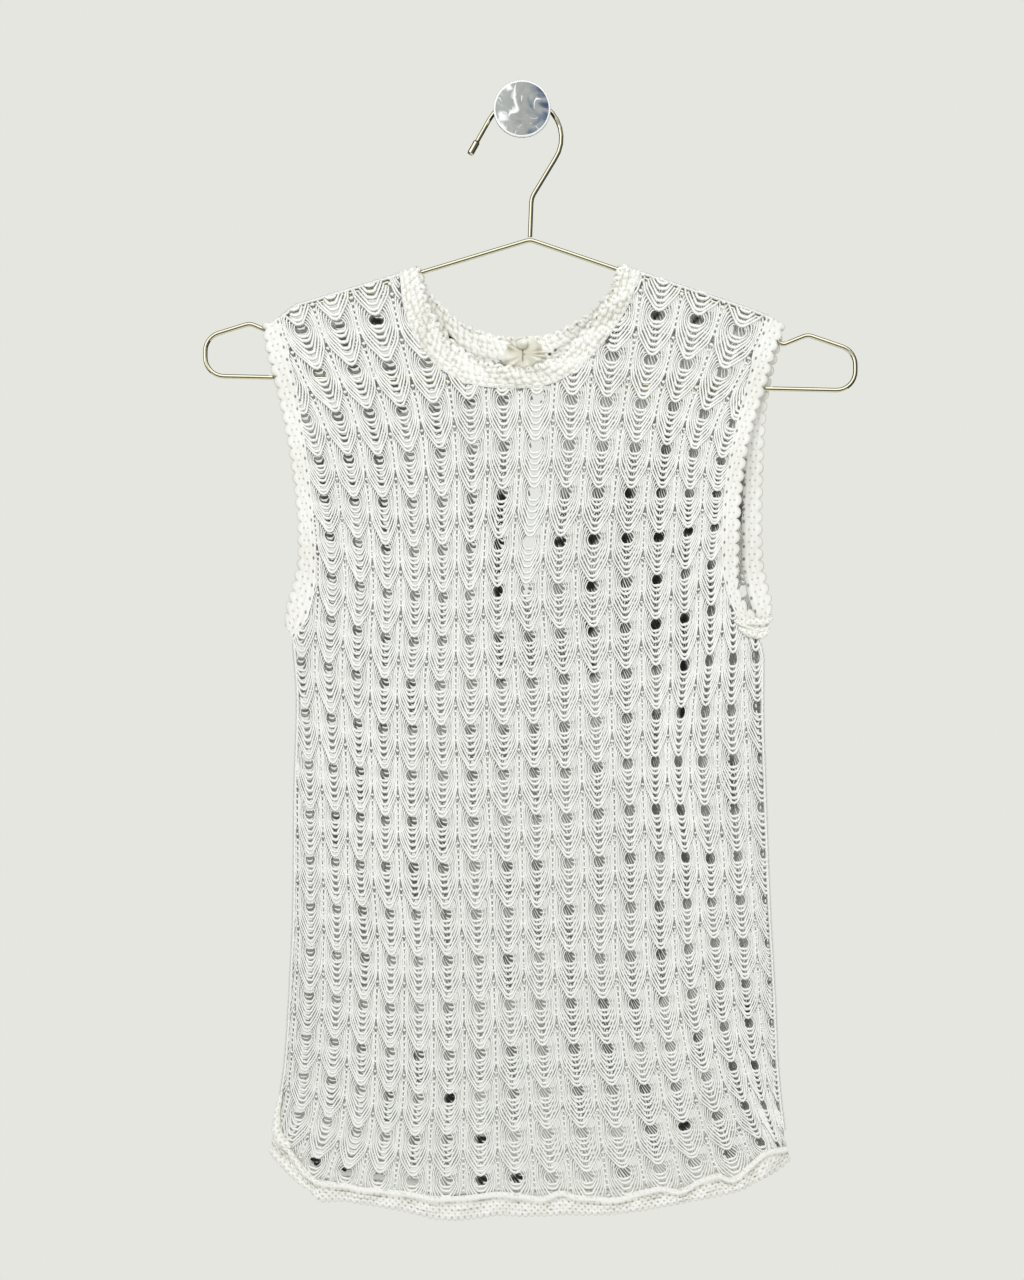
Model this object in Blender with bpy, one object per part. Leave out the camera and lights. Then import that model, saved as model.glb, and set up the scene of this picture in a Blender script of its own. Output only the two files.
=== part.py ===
"""A sleeveless openwork top, hung on a bent wire hanger from a chrome wall peg.

Metres, +Z up. The wall is the plane y = 0 and the peg's axis runs along Y through the origin.
The top is two lace panels that lie flat on each side of the hanger, joined at the shoulders and
down the sides, with garter bands round the neck, the armholes and the hem.
"""

import math
from collections import namedtuple

import bmesh
import bpy

MM = 0.001

# The peg that holds the hanger
ROD_DIAMETER = 13.1 * MM
DISC_DIAMETER = 37.6 * MM
DISC_THICKNESS = 4 * MM
DISC_BEVEL = 0.8 * MM
PEG_REACH = 64 * MM
HANGER_FROM_WALL = 50 * MM

# The hanger's wire
WIRE_DIAMETER = 3 * MM
HOOK_RADIUS = 25.3 * MM
HOOK_CENTRE_X = 0.7 * MM
HOOK_CENTRE_Z = -16.95 * MM
HOOK_TIP_RUN = 26.6 * MM
HOOK_START_DEG = 150.7
HOOK_END_DEG = -33.7
ARC_STEP_DEG = 12
TIP_CAP_LENGTH = 9 * MM
TIP_CAP_SCALE = 1.5
TIP_CAP_EDGE = 1 * MM
TIP_CAP_END_SCALE = 1.2

# Cloth
PANEL_WALL = 1.6 * MM
BAND_WALL = 2.4 * MM
SEAM_GAP = 0.3 * MM
RIDGE_DROP = 5 * MM
SIDE_ROUNDING = 5
UNDERARM_Z = -348 * MM
HEM_BAND_HEIGHT = 13 * MM
SLIT_WIDTH = 5 * MM
SLIT_END_SHARE = 0.3
SLIT_ROW_SHARE = 0.35

# Button at the back of the neck
BUTTON_DIAMETER = 9 * MM
BUTTON_THICKNESS = 2.8 * MM
BUTTON_BEVEL = 0.9 * MM
BUTTON_Z = -153.5 * MM
LOOP_YARN = 1.5 * MM
LOOP_POINTS = 15
LOOP_START_DEG = 50
LOOP_SWEEP_DEG = 260
LOOP_RUN = 4 * MM
LOOP_RISE_SHARE = 0.6

# Turned pieces
TURNED_SIDES = 48
BUTTON_SIDES = 32
SHARP_EDGE_DEG = 40
BEVEL_STEPS = 3

# Wire frame, corner by corner, clockwise from the top, in millimetres
Corner = namedtuple("Corner", "x z radius")
FRAME_CORNERS = (
    Corner(5.3, -84.2, 9),
    Corner(157, -135.8, 10),
    Corner(171.5, -153.8, 4),
    Corner(188.5, -146.9, 8),
    Corner(220, -157.7, 12.5),
    Corner(220, -183.7, 12.5),
    Corner(-209, -174, 12.5),
    Corner(-209, -148.5, 12.5),
    Corner(-179.5, -139.4, 8),
    Corner(-167.2, -144.8, 4),
    Corner(-152, -131.5, 10),
)

# Stem under the hook's round, in millimetres
STEM_CORNERS = (
    Corner(6.3, -56.5, 12),
    Corner(5.3, -82.2, 0),
)

# The shoulder line where front and back are joined, in millimetres
Ridge = namedtuple("Ridge", "x z")
RIDGE = (
    Ridge(-173, -140.6),
    Ridge(-165.6, -139.8),
    Ridge(-162, -137.4),
    Ridge(-154.4, -130.6),
    Ridge(-148.5, -126.8),
    Ridge(5.3, -80.4),
    Ridge(148, -128.8),
    Ridge(154, -130.9),
    Ridge(160.6, -133.6),
    Ridge(165.6, -137),
    Ridge(174, -142.2),
)

# Half depths inside the top, from the hanger's plane to the cloth, at its edges and its middle
Section = namedtuple("Section", "z front_left front_mid front_right back_left back_mid back_right")
SECTIONS = (
    Section(-100, 2.6, 2.6, 2.6, 2.6, 2.6, 2.6),
    Section(-190, 2.5, 3.6, 3.2, 2.5, 3.2, 2.5),
    Section(-260, 1.8, 6.5, 7.0, 1.8, 5.5, 2.0),
    Section(-310, 1.2, 8.5, 5.5, 1.2, 7.0, 1.6),
    Section(-348, 0.15, 9.6, 0.15, 0.15, 8.6, 0.15),
    Section(-450, 0.15, 12.2, 0.15, 0.15, 11.2, 0.15),
    Section(-600, 0.15, 15.5, 0.15, 0.15, 14.5, 0.15),
    Section(-735, 0.15, 19, 0.15, 0.15, 18, 0.15),
)

# Side seams below the armholes, in millimetres
Side = namedtuple("Side", "z left right")
SIDES = (
    Side(-348, -151.3, 156.8),
    Side(-362, -150.2, 159.3),
    Side(-388, -148.6, 159.2),
    Side(-454, -150.4, 161),
    Side(-520, -150.9, 163.4),
    Side(-586, -153.8, 167),
    Side(-626, -156.5, 168.8),
    Side(-652, -160.2, 171),
    Side(-677, -163.8, 174.2),
)

# Armhole bands, a section at a time from the shoulder: seam with the panel, then free edge
BandRow = namedtuple("BandRow", "seam_x seam_z edge_x edge_z")
LEFT_ARMHOLE = (
    BandRow(-160.4, -136.0, -170.5, -140.3),
    BandRow(-156.6, -153.6, -168.3, -157.0),
    BandRow(-150.8, -174.7, -163.0, -176.7),
    BandRow(-147.2, -196.5, -158.2, -197.8),
    BandRow(-143.9, -216.3, -154.2, -216.9),
    BandRow(-140.6, -242.7, -150.3, -242.7),
    BandRow(-137.9, -272.4, -147.4, -272.4),
    BandRow(-136.6, -295.5, -147.2, -294.1),
    BandRow(-138.3, -318.6, -150.9, -312.0),
    BandRow(-144.0, -336.2, -154.9, -325.2),
    BandRow(-151.3, -348.0, -156.6, -338.2),
)
RIGHT_FRONT_ARMHOLE = (
    BandRow(162.4, -135.0, 172.9, -141.5),
    BandRow(155.8, -153.6, 166.6, -157.0),
    BandRow(150.3, -173.4, 161.6, -175.3),
    BandRow(145.2, -193.2, 155.4, -195.2),
    BandRow(139.9, -214.3, 149.8, -214.8),
    BandRow(135.3, -239.4, 145.1, -240.2),
    BandRow(132.7, -265.7, 142.9, -265.4),
    BandRow(132.2, -295.5, 142.1, -293.8),
    BandRow(135.6, -316.6, 141.8, -310.0),
    BandRow(143.4, -333.7, 147.0, -324.5),
    BandRow(156.8, -348.0, 160.8, -337.4),
)
RIGHT_BACK_ARMHOLE = (
    BandRow(162.4, -135.0, 172.9, -141.5),
    BandRow(158.2, -153.6, 169.4, -157.4),
    BandRow(152.7, -175.3, 164.2, -176.7),
    BandRow(149.8, -196.5, 161.0, -196.5),
    BandRow(147.8, -219.6, 159.5, -219.6),
    BandRow(146.5, -242.7, 158.6, -242.7),
    BandRow(145.9, -269.0, 158.1, -269.0),
    BandRow(145.9, -295.5, 158.7, -294.6),
    BandRow(149.0, -314.0, 161.5, -310.0),
    BandRow(153.6, -331.0, 164.6, -323.8),
    BandRow(156.8, -348.0, 165.0, -335.0),
)

# Neckband, from the left shoulder round to the right one: seam with the panel, then free edge
FRONT_NECK = (
    BandRow(-80, -106.5, -67.5, -102.7),
    BandRow(-77.6, -127.5, -63.6, -120.5),
    BandRow(-69.8, -148.4, -56.2, -137.0),
    BandRow(-59.8, -162.6, -47.6, -149.0),
    BandRow(-48.8, -172.0, -37.4, -158.0),
    BandRow(-35.0, -178.6, -26.0, -164.0),
    BandRow(-18.0, -181.3, -13.0, -167.4),
    BandRow(0.0, -181.6, 0.0, -168.4),
    BandRow(15.0, -179.8, 11.0, -166.4),
    BandRow(28.5, -174.3, 22.4, -160.8),
    BandRow(40.3, -165.4, 33.2, -152.0),
    BandRow(51.2, -154.0, 43.2, -140.8),
    BandRow(61.6, -140.6, 51.6, -128.6),
    BandRow(70.6, -124.6, 58.8, -115.6),
    BandRow(77.5, -105.4, 64.5, -100.9),
)
BACK_NECK = (
    BandRow(-80, -106.5, -67.5, -102.7),
    BandRow(-74.8, -124.0, -62.0, -116.5),
    BandRow(-63.4, -138.5, -52.4, -127.5),
    BandRow(-50.2, -149.6, -41.4, -137.2),
    BandRow(-35.2, -157.4, -29.6, -143.2),
    BandRow(-18.6, -162.0, -16.4, -147.0),
    BandRow(-2.4, -163.6, -3.6, -148.6),
    BandRow(3.6, -163.6, 3.2, -148.6),
    BandRow(19.0, -162.0, 16.0, -146.6),
    BandRow(33.0, -156.6, 28.0, -141.8),
    BandRow(46.4, -148.4, 39.4, -135.4),
    BandRow(60.0, -137.2, 49.6, -126.6),
    BandRow(71.0, -123.4, 58.4, -115.0),
    BandRow(77.5, -105.4, 64.5, -100.9),
)

# The hem's free edge, in millimetres
Hem = namedtuple("Hem", "x z")
HEM = (
    Hem(-165.0, -684.5),
    Hem(-156.0, -691.5),
    Hem(-146.5, -700.7),
    Hem(-138.6, -709.3),
    Hem(-131.3, -715.4),
    Hem(-116.8, -715.0),
    Hem(-103.6, -716.5),
    Hem(-87.0, -719.2),
    Hem(-70.6, -723.1),
    Hem(-54.0, -726.8),
    Hem(-41.0, -726.8),
    Hem(-14.5, -724.0),
    Hem(5.3, -724.4),
    Hem(31.7, -723.8),
    Hem(58.0, -723.1),
    Hem(78.0, -720.8),
    Hem(97.7, -717.2),
    Hem(117.5, -713.9),
    Hem(144.0, -707.3),
    Hem(158.4, -701.3),
    Hem(170.3, -696.4),
    Hem(177.0, -691.0),
)

# Soft folds of the front and back: from one end to the other, half width and height, millimetres
Fold = namedtuple("Fold", "x0 z0 x1 z1 width height")
FRONT_FOLDS = (
    Fold(137, -205, 112, -318, 9, 2.4),
    Fold(122, -300, 148, -372, 8, 2.2),
    Fold(-126, -292, -140, -380, 9, 1.8),
    Fold(-92, -560, -122, -900, 14, 2.6),
    Fold(-22, -600, -34, -900, 16, 2.2),
    Fold(58, -585, 74, -900, 15, 2.6),
    Fold(124, -560, 164, -860, 12, 2.2),
)
BACK_FOLDS = (
    Fold(128, -290, 142, -390, 9, 2.0),
    Fold(-122, -290, -138, -390, 9, 2.0),
    Fold(-70, -570, -92, -900, 16, 2.4),
    Fold(12, -600, 22, -900, 16, 2.4),
    Fold(98, -580, 122, -900, 14, 2.4),
)

# Grid of the panels
SHOULDER_SHARES = (0, 0.075, 0.15, 0.4, 0.7)
CROWN_DROPS = (1.2, 5)
BODY_ROWS = 12
SLIT_ROWS = 8

WHITE_YARN = (0.90, 0.90, 0.87)
CREAM_YARN = (0.86, 0.84, 0.77)
BRASS = (0.72, 0.62, 0.36)
CHROME = (0.78, 0.79, 0.81)


def clear_scene():
    for obj in list(bpy.data.objects):
        bpy.data.objects.remove(obj)


def make_material(name, colour, roughness, metallic=0.0):
    material = bpy.data.materials.new(name)
    material.use_nodes = True
    shader = material.node_tree.nodes["Principled BSDF"]
    shader.inputs["Base Color"].default_value = (*colour, 1)
    shader.inputs["Roughness"].default_value = roughness
    shader.inputs["Metallic"].default_value = metallic
    return material


def smooth_between(places, values, at):
    """A curve through the values, with no overshoot; places rise."""
    if at <= places[0]:
        return values[0]
    if at >= places[-1]:
        return values[-1]
    steps = [b - a for a, b in zip(places, places[1:])]
    slopes = [(b - a) / step for a, b, step in zip(values, values[1:], steps)]
    tangents = [slopes[0]]
    for before, after in zip(slopes, slopes[1:]):
        same_way = before * after > 0
        tangents.append(2 * before * after / (before + after) if same_way else 0)
    tangents.append(slopes[-1])
    i = max(k for k in range(len(steps)) if places[k] <= at)
    t = (at - places[i]) / steps[i]
    start = (1 + 2 * t) * (1 - t) ** 2 * values[i] + t * (1 - t) ** 2 * steps[i] * tangents[i]
    end = t * t * (3 - 2 * t) * values[i + 1] - t * t * (1 - t) * steps[i] * tangents[i + 1]
    return start + end


def look_up(table, place, column, at):
    """The value of a table's column at a place, given by another of its columns; metres."""
    rows = sorted(table, key=lambda row: getattr(row, place))
    places = [getattr(row, place) * MM for row in rows]
    values = [getattr(row, column) * MM for row in rows]
    return smooth_between(places, values, at)


def ridge_height(x):
    """The shoulder line's height: straight runs along the hanger's arms."""
    for left, right in zip(RIDGE, RIDGE[1:]):
        if x <= right.x * MM or right is RIDGE[-1]:
            share = (x / MM - left.x) / (right.x - left.x)
            return (left.z + share * (right.z - left.z)) * MM
    return RIDGE[-1].z * MM


def line_between(first, second, share):
    """A pair of places, a share of the way from one pair to another."""
    return tuple(
        (x0 + share * (x1 - x0), z0 + share * (z1 - z0))
        for (x0, z0), (x1, z1) in zip(first, second)
    )


def band_sections(table, ends):
    """A band's sections, seam and free edge, with two more where an end bends over the wire."""
    sections = [
        ((row.seam_x * MM, row.seam_z * MM), (row.edge_x * MM, row.edge_z * MM)) for row in table
    ]
    for end in ends:
        if end:
            sections.reverse()
        first = tuple((x, ridge_height(x)) for x, z in sections[0])
        second = sections[1]
        length = math.dist(first[0], second[0])
        crown = [line_between(first, second, drop * MM / length) for drop in CROWN_DROPS]
        sections = [first] + crown + sections[1:]
        if end:
            sections.reverse()
    return sections


def fold_height(folds, x, z):
    """How far the soft folds lift the cloth at a place, metres."""
    total = 0
    for fold in folds:
        run_x = (fold.x1 - fold.x0) * MM
        run_z = (fold.z1 - fold.z0) * MM
        length = math.hypot(run_x, run_z)
        from_x = x - fold.x0 * MM
        from_z = z - fold.z0 * MM
        along = (from_x * run_x + from_z * run_z) / length**2
        across = (from_x * run_z - from_z * run_x) / length / (fold.width * MM)
        if 0 < along < 1:
            total += fold.height * MM * math.sin(math.pi * along) * math.exp(-across * across)
    return total


def half_depth(face, share, x, z, wall):
    """Distance from the hanger's plane to the middle of the cloth; share is 0 left to 1 right."""
    side = 2 * share - 1
    edge = look_up(SECTIONS, "z", f"{face}_{'left' if side < 0 else 'right'}", z)
    middle = look_up(SECTIONS, "z", f"{face}_mid", z)
    swell = math.cos(math.pi / 2 * min(1, abs(side)) ** SIDE_ROUNDING)
    folds = FRONT_FOLDS if face == "front" else BACK_FOLDS
    inside = edge + (middle - edge) * swell + fold_height(folds, x, z) * min(1, 2 * swell)
    drop = max(0, ridge_height(x) - z)
    inside = SEAM_GAP / 2 + (inside - SEAM_GAP / 2) * math.sqrt(min(1, drop / RIDGE_DROP))
    return inside + wall / 2


class Face:
    """The front or the back of the top, as a surface that its pieces share."""

    def __init__(self, name, left_armhole, right_armhole, neck):
        self.name = name
        self.sign = -1 if name == "front" else 1
        self.left_armhole = band_sections(left_armhole, (0,))
        self.right_armhole = band_sections(right_armhole, (0,))
        self.neck = band_sections(neck, (0, 1))

    def side_at(self, armhole, column, z):
        """Where the panel ends at one side: at its armhole or, lower down, at its side seam."""
        if z <= UNDERARM_Z:
            return look_up(SIDES, "z", column, z)
        for (upper, _), (lower, _) in zip(armhole, armhole[1:]):
            if z >= lower[1]:
                share = (z - lower[1]) / (upper[1] - lower[1])
                return lower[0] + min(1, share) * (upper[0] - lower[0])
        return armhole[-1][0][0]

    def sides_at(self, z):
        left = self.side_at(self.left_armhole, "left", z)
        right = self.side_at(self.right_armhole, "right", z)
        return left, right

    def point(self, x, z, wall):
        left, right = self.sides_at(z)
        share = min(1, max(0, (x - left) / (right - left)))
        return (x, self.sign * half_depth(self.name, share, x, z, wall), z)

    def top_edge(self):
        """The panel's top edge: left shoulder, neck, right shoulder, as places across and up."""
        neck = [seam for seam, free in self.neck]
        shoulders = []
        for armhole, corner in ((self.left_armhole, neck[0]), (self.right_armhole, neck[-1])):
            tip = armhole[0][0][0]
            places = [tip + share * (corner[0] - tip) for share in SHOULDER_SHARES]
            shoulders.append([(x, ridge_height(x)) for x in places])
        return shoulders[0] + neck + shoulders[1][::-1]

    def column_heights(self, top_z, low_z, across):
        """Heights up one column of the panel, level with the armholes' sections at its sides."""
        under_top = top_z - CROWN_DROPS[-1] * MM
        heights = [low_z + (UNDERARM_Z - low_z) * r / BODY_ROWS for r in range(BODY_ROWS)]
        for left, right in reversed(list(zip(self.left_armhole, self.right_armhole))[3:]):
            climbs = []
            for armhole, (seam, _) in ((self.left_armhole, left), (self.right_armhole, right)):
                climbs.append((seam[1] - UNDERARM_Z) / (armhole[2][0][1] - UNDERARM_Z))
            climb = climbs[0] + across * (climbs[1] - climbs[0])
            heights.append(UNDERARM_Z + climb * (under_top - UNDERARM_Z))
        crown = [top_z - drop * MM for drop in reversed(CROWN_DROPS)]
        return heights + crown + [top_z]


def panel_rows(face):
    """Rows of points up a panel, from its hem seam to its shoulders and neck."""
    tops = face.top_edge()
    columns = []
    for k, (top_x, top_z) in enumerate(tops):
        low_share = hem_share(k, len(tops))
        low_x, low_z = hem_seam(face, low_share)
        left, right = face.sides_at(top_z)
        top_share = min(1, max(0, (top_x - left) / (right - left)))
        column = []
        for z in face.column_heights(top_z, low_z, k / (len(tops) - 1)):
            climb = (z - low_z) / (top_z - low_z)
            share = low_share + (top_share - low_share) * climb
            left, right = face.sides_at(z)
            x = left + share * (right - left)
            column.append((x, face.sign * half_depth(face.name, share, x, z, PANEL_WALL), z))
        columns.append(column)
    return [list(row) for row in zip(*columns)]


def hem_share(k, count):
    """How far across the hem a column starts: closer together towards the side seams."""
    return (1 - math.cos(math.pi * k / (count - 1))) / 2


def hem_seam(face, share):
    """A place on the seam between a panel and its hem band."""
    left, right = face.sides_at(SIDES[-1].z * MM)
    x = left + share * (right - left)
    return x, look_up(HEM, "x", "z", x) + HEM_BAND_HEIGHT


def make_wall(name, rows, wall, material, parent, slit=None):
    """Cloth from rows of points on its middle, made solid front to back; slit is a row, column."""
    mesh = bpy.data.meshes.new(name)
    sheet = bmesh.new()
    grid = []
    for row in rows:
        grid.append([sheet.verts.new((x, y - wall / 2, z)) for x, y, z in row])
    for r in range(len(grid) - 1):
        for c in range(len(grid[r]) - 1):
            if not (slit and r >= slit[0] and c == slit[1]):
                sheet.faces.new((grid[r][c], grid[r][c + 1], grid[r + 1][c + 1], grid[r + 1][c]))
    loose = [vert for vert in sheet.verts if not vert.link_faces]
    bmesh.ops.delete(sheet, geom=loose, context="VERTS")
    extruded = bmesh.ops.extrude_face_region(sheet, geom=sheet.faces[:])
    moved = [item for item in extruded["geom"] if isinstance(item, bmesh.types.BMVert)]
    bmesh.ops.translate(sheet, verts=moved, vec=(0, wall, 0))
    bmesh.ops.recalc_face_normals(sheet, faces=sheet.faces[:])
    sheet.to_mesh(mesh)
    sheet.free()
    mesh.materials.append(material)
    obj = bpy.data.objects.new(name, mesh)
    bpy.context.collection.objects.link(obj)
    obj.parent = parent
    return obj


def band_rows(face, sections):
    """Rows of points along a band, from its seam to its free edge."""
    rows = []
    for seam, free in sections:
        width = math.dist(seam, free)
        row = []
        for share in (SEAM_GAP / width, 0.5, 1):
            x = seam[0] + share * (free[0] - seam[0])
            z = seam[1] + share * (free[1] - seam[1])
            row.append(face.point(x, z, BAND_WALL))
        rows.append(row)
    return rows


def add_front_panel(face, material, parent):
    make_wall("front_panel", panel_rows(face), PANEL_WALL, material, parent)


def add_back_panel(face, material, parent):
    """The back is open down its middle from the neck."""
    rows = panel_rows(face)
    left_of_slit = sum(seam[0] < 0 for seam, _ in face.neck)
    middle = len(SHOULDER_SHARES) + left_of_slit - 1
    first = len(rows) - SLIT_ROWS
    for r, row in enumerate(rows[first:]):
        centre = (row[middle][0] + row[middle + 1][0]) / 2
        opening = SLIT_WIDTH / 2 * min(1, SLIT_END_SHARE + SLIT_ROW_SHARE * r)
        for column, way in ((middle, -1), (middle + 1, 1)):
            _, y, z = row[column]
            row[column] = (centre + way * opening, y, z)
    make_wall("back_panel", rows, PANEL_WALL, material, parent, (first, middle))


def add_neckband(front, back, material, parent):
    rows = band_rows(front, front.neck)
    make_wall("neckband_front", rows, BAND_WALL, material, parent)
    rows = band_rows(back, back.neck)
    split = sum(seam[0] < 0 for seam, _ in back.neck)
    make_wall("neckband_back_left", rows[:split], BAND_WALL, material, parent)
    make_wall("neckband_back_right", rows[split:], BAND_WALL, material, parent)


def add_armhole_bands(front, back, material, parent):
    for face in (front, back):
        for side, sections in (("left", face.left_armhole), ("right", face.right_armhole)):
            name = f"armband_{side}_{face.name}"
            make_wall(name, band_rows(face, sections), BAND_WALL, material, parent)


def hem_rows(face):
    """Sections of the hem band, from side seam to side seam."""
    count = len(face.top_edge())
    rows = []
    for k in range(count):
        share = hem_share(k, count)
        seam_x, seam_z = hem_seam(face, share)
        free_x = (HEM[0].x + share * (HEM[-1].x - HEM[0].x)) * MM
        free_z = look_up(HEM, "x", "z", free_x)
        row = []
        for down in (SEAM_GAP / HEM_BAND_HEIGHT, 0.5, 1):
            x = seam_x + down * (free_x - seam_x)
            z = seam_z + down * (free_z - seam_z)
            row.append((x, face.sign * half_depth(face.name, share, x, z, BAND_WALL), z))
        rows.append(row)
    return rows


def add_hem(front, back, material, parent):
    for face in (front, back):
        make_wall(f"hem_band_{face.name}", hem_rows(face), BAND_WALL, material, parent)


def rounded_path(corners, closed):
    """Points along straight runs and arcs, from corners with radii; across and up, metres."""
    path = []
    count = len(corners)
    for k, corner in enumerate(corners):
        here = (corner.x * MM, corner.z * MM)
        if not closed and k in (0, count - 1):
            path.append(here)
            continue
        before = corners[k - 1]
        after = corners[(k + 1) % count]
        path += fillet(before, corner, after)
    return path


def fillet(before, corner, after):
    """Points on the arc that rounds one corner."""
    back = math.atan2(before.z - corner.z, before.x - corner.x)
    forth = math.atan2(after.z - corner.z, after.x - corner.x)
    turn = (forth - back + math.pi) % (2 * math.pi) - math.pi
    half = abs(turn) / 2
    reach = corner.radius / math.tan(half)
    bisector = back + turn / 2
    centre_x = corner.x + corner.radius / math.sin(half) * math.cos(bisector)
    centre_z = corner.z + corner.radius / math.sin(half) * math.sin(bisector)
    start_x = corner.x + reach * math.cos(back)
    start_z = corner.z + reach * math.sin(back)
    start = math.atan2(start_z - centre_z, start_x - centre_x)
    sweep = math.copysign(math.pi - abs(turn), -turn)
    steps = max(2, round(abs(math.degrees(sweep)) / ARC_STEP_DEG))
    points = []
    for k in range(steps + 1):
        angle = start + sweep * k / steps
        x = centre_x + corner.radius * math.cos(angle)
        z = centre_z + corner.radius * math.sin(angle)
        points.append((x * MM, z * MM))
    return points


def add_wire(name, path, closed, diameter, material, parent, scales=None, y=0.0):
    """A round wire along a path in a plane that faces the wall."""
    curve = bpy.data.curves.new(name, "CURVE")
    curve.dimensions = "3D"
    curve.bevel_depth = diameter / 2
    curve.bevel_resolution = 3
    curve.use_fill_caps = True
    spline = curve.splines.new("POLY")
    spline.points.add(len(path) - 1)
    spline.use_cyclic_u = closed
    for k, (point, (x, z)) in enumerate(zip(spline.points, path)):
        point.co = (x, y, z, 1)
        point.radius = scales[k] if scales else 1
    curve.materials.append(material)
    obj = bpy.data.objects.new(name, curve)
    bpy.context.collection.objects.link(obj)
    obj.parent = parent
    return obj


def hook_path():
    """Tip, straight run, round over the peg, then the stem down to the frame."""
    start = math.radians(HOOK_START_DEG)
    end = math.radians(HOOK_END_DEG)
    steps = round((HOOK_START_DEG - HOOK_END_DEG) / ARC_STEP_DEG)
    arc = []
    for k in range(steps + 1):
        angle = start + (end - start) * k / steps
        x = HOOK_CENTRE_X + HOOK_RADIUS * math.cos(angle)
        z = HOOK_CENTRE_Z + HOOK_RADIUS * math.sin(angle)
        arc.append((x, z))
    back_x = -math.sin(start)
    back_z = math.cos(start)
    cap_start = HOOK_TIP_RUN - TIP_CAP_LENGTH
    runs = (HOOK_TIP_RUN, HOOK_TIP_RUN - TIP_CAP_EDGE, cap_start, cap_start - TIP_CAP_EDGE)
    tip = [(arc[0][0] + run * back_x, arc[0][1] + run * back_z) for run in runs]
    last = Corner(arc[-1][0] / MM, arc[-1][1] / MM, 0)
    stem = rounded_path((last,) + STEM_CORNERS, closed=False)[1:]
    scales = [TIP_CAP_END_SCALE, TIP_CAP_SCALE, TIP_CAP_SCALE, 1]
    scales += [1] * (len(arc) + len(stem))
    return tip + arc + stem, scales


def add_hanger(material, parent):
    frame = rounded_path(FRAME_CORNERS, closed=True)
    add_wire("hanger_frame", frame, True, WIRE_DIAMETER, material, parent)
    path, scales = hook_path()
    add_wire("hanger_hook", path, False, WIRE_DIAMETER, material, parent, scales)


def add_turned(name, diameter, length, y, z, bevel, sides, material):
    """A round piece that faces the wall, from y back towards it."""
    bpy.ops.mesh.primitive_cylinder_add(
        vertices=sides,
        radius=diameter / 2,
        depth=length,
        location=(0, y + length / 2, z),
        rotation=(math.pi / 2, 0, 0),
    )
    obj = bpy.context.object
    obj.name = name
    obj.data.materials.append(material)
    obj.data.shade_smooth()
    obj.data.set_sharp_from_angle(angle=math.radians(SHARP_EDGE_DEG))
    if bevel:
        edge = obj.modifiers.new("edge", "BEVEL")
        edge.width = bevel
        edge.segments = BEVEL_STEPS
        edge.limit_method = "ANGLE"
    return obj


def add_peg(material):
    """A plain round arm out of the wall, with a polished disc on its end."""
    add_turned(
        "peg_disc", DISC_DIAMETER, DISC_THICKNESS, -PEG_REACH, 0, DISC_BEVEL, TURNED_SIDES, material
    )
    start = -PEG_REACH + DISC_THICKNESS + SEAM_GAP
    add_turned("peg_arm", ROD_DIAMETER, -start, start, 0, 0, TURNED_SIDES, material)


def add_button(back, material, parent):
    """A round button behind the gap between the neckband's ends, and the yarn loop round it."""
    _, band_y, _ = back.point(0, BUTTON_Z, BAND_WALL)
    y = band_y + BAND_WALL / 2 + SEAM_GAP
    button = add_turned(
        "neck_button", BUTTON_DIAMETER, BUTTON_THICKNESS, y, BUTTON_Z, BUTTON_BEVEL, BUTTON_SIDES,
        material,
    )
    button.parent = parent
    radius = BUTTON_DIAMETER / 2 + SEAM_GAP + LOOP_YARN / 2
    rise = radius * LOOP_RISE_SHARE
    path = [(radius + LOOP_RUN, BUTTON_Z + rise)]
    for k in range(LOOP_POINTS):
        angle = math.radians(LOOP_START_DEG + LOOP_SWEEP_DEG * k / (LOOP_POINTS - 1))
        path.append((radius * math.cos(angle), BUTTON_Z + radius * math.sin(angle)))
    path.append((radius + LOOP_RUN, BUTTON_Z - rise))
    add_wire("button_loop", path, False, LOOP_YARN, material, parent, y=y + LOOP_YARN / 2)


def build():
    clear_scene()
    hang = bpy.data.objects.new("hanging_plane", None)
    bpy.context.collection.objects.link(hang)
    hang.location = (0, -HANGER_FROM_WALL, 0)
    yarn = make_material("white yarn", WHITE_YARN, 0.9)
    cream = make_material("cream yarn", CREAM_YARN, 0.85)
    brass = make_material("brass wire", BRASS, 0.25, 1.0)
    chrome = make_material("chrome", CHROME, 0.08, 1.0)
    front = Face("front", LEFT_ARMHOLE, RIGHT_FRONT_ARMHOLE, FRONT_NECK)
    back = Face("back", LEFT_ARMHOLE, RIGHT_BACK_ARMHOLE, BACK_NECK)
    add_front_panel(front, yarn, hang)
    add_back_panel(back, yarn, hang)
    add_neckband(front, back, yarn, hang)
    add_armhole_bands(front, back, yarn, hang)
    add_hem(front, back, yarn, hang)
    add_button(back, cream, hang)
    add_hanger(brass, hang)
    add_peg(chrome)


build()
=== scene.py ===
"""Looks of a sleeveless openwork top on its wire hanger and wall peg.

The lace is knitted here strand by strand: one repeat of the pattern is charted as seven strands,
which are laid along a lattice of eyelets and wrapped onto the front and the back of the top.
"""

import math
from collections import namedtuple

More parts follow.
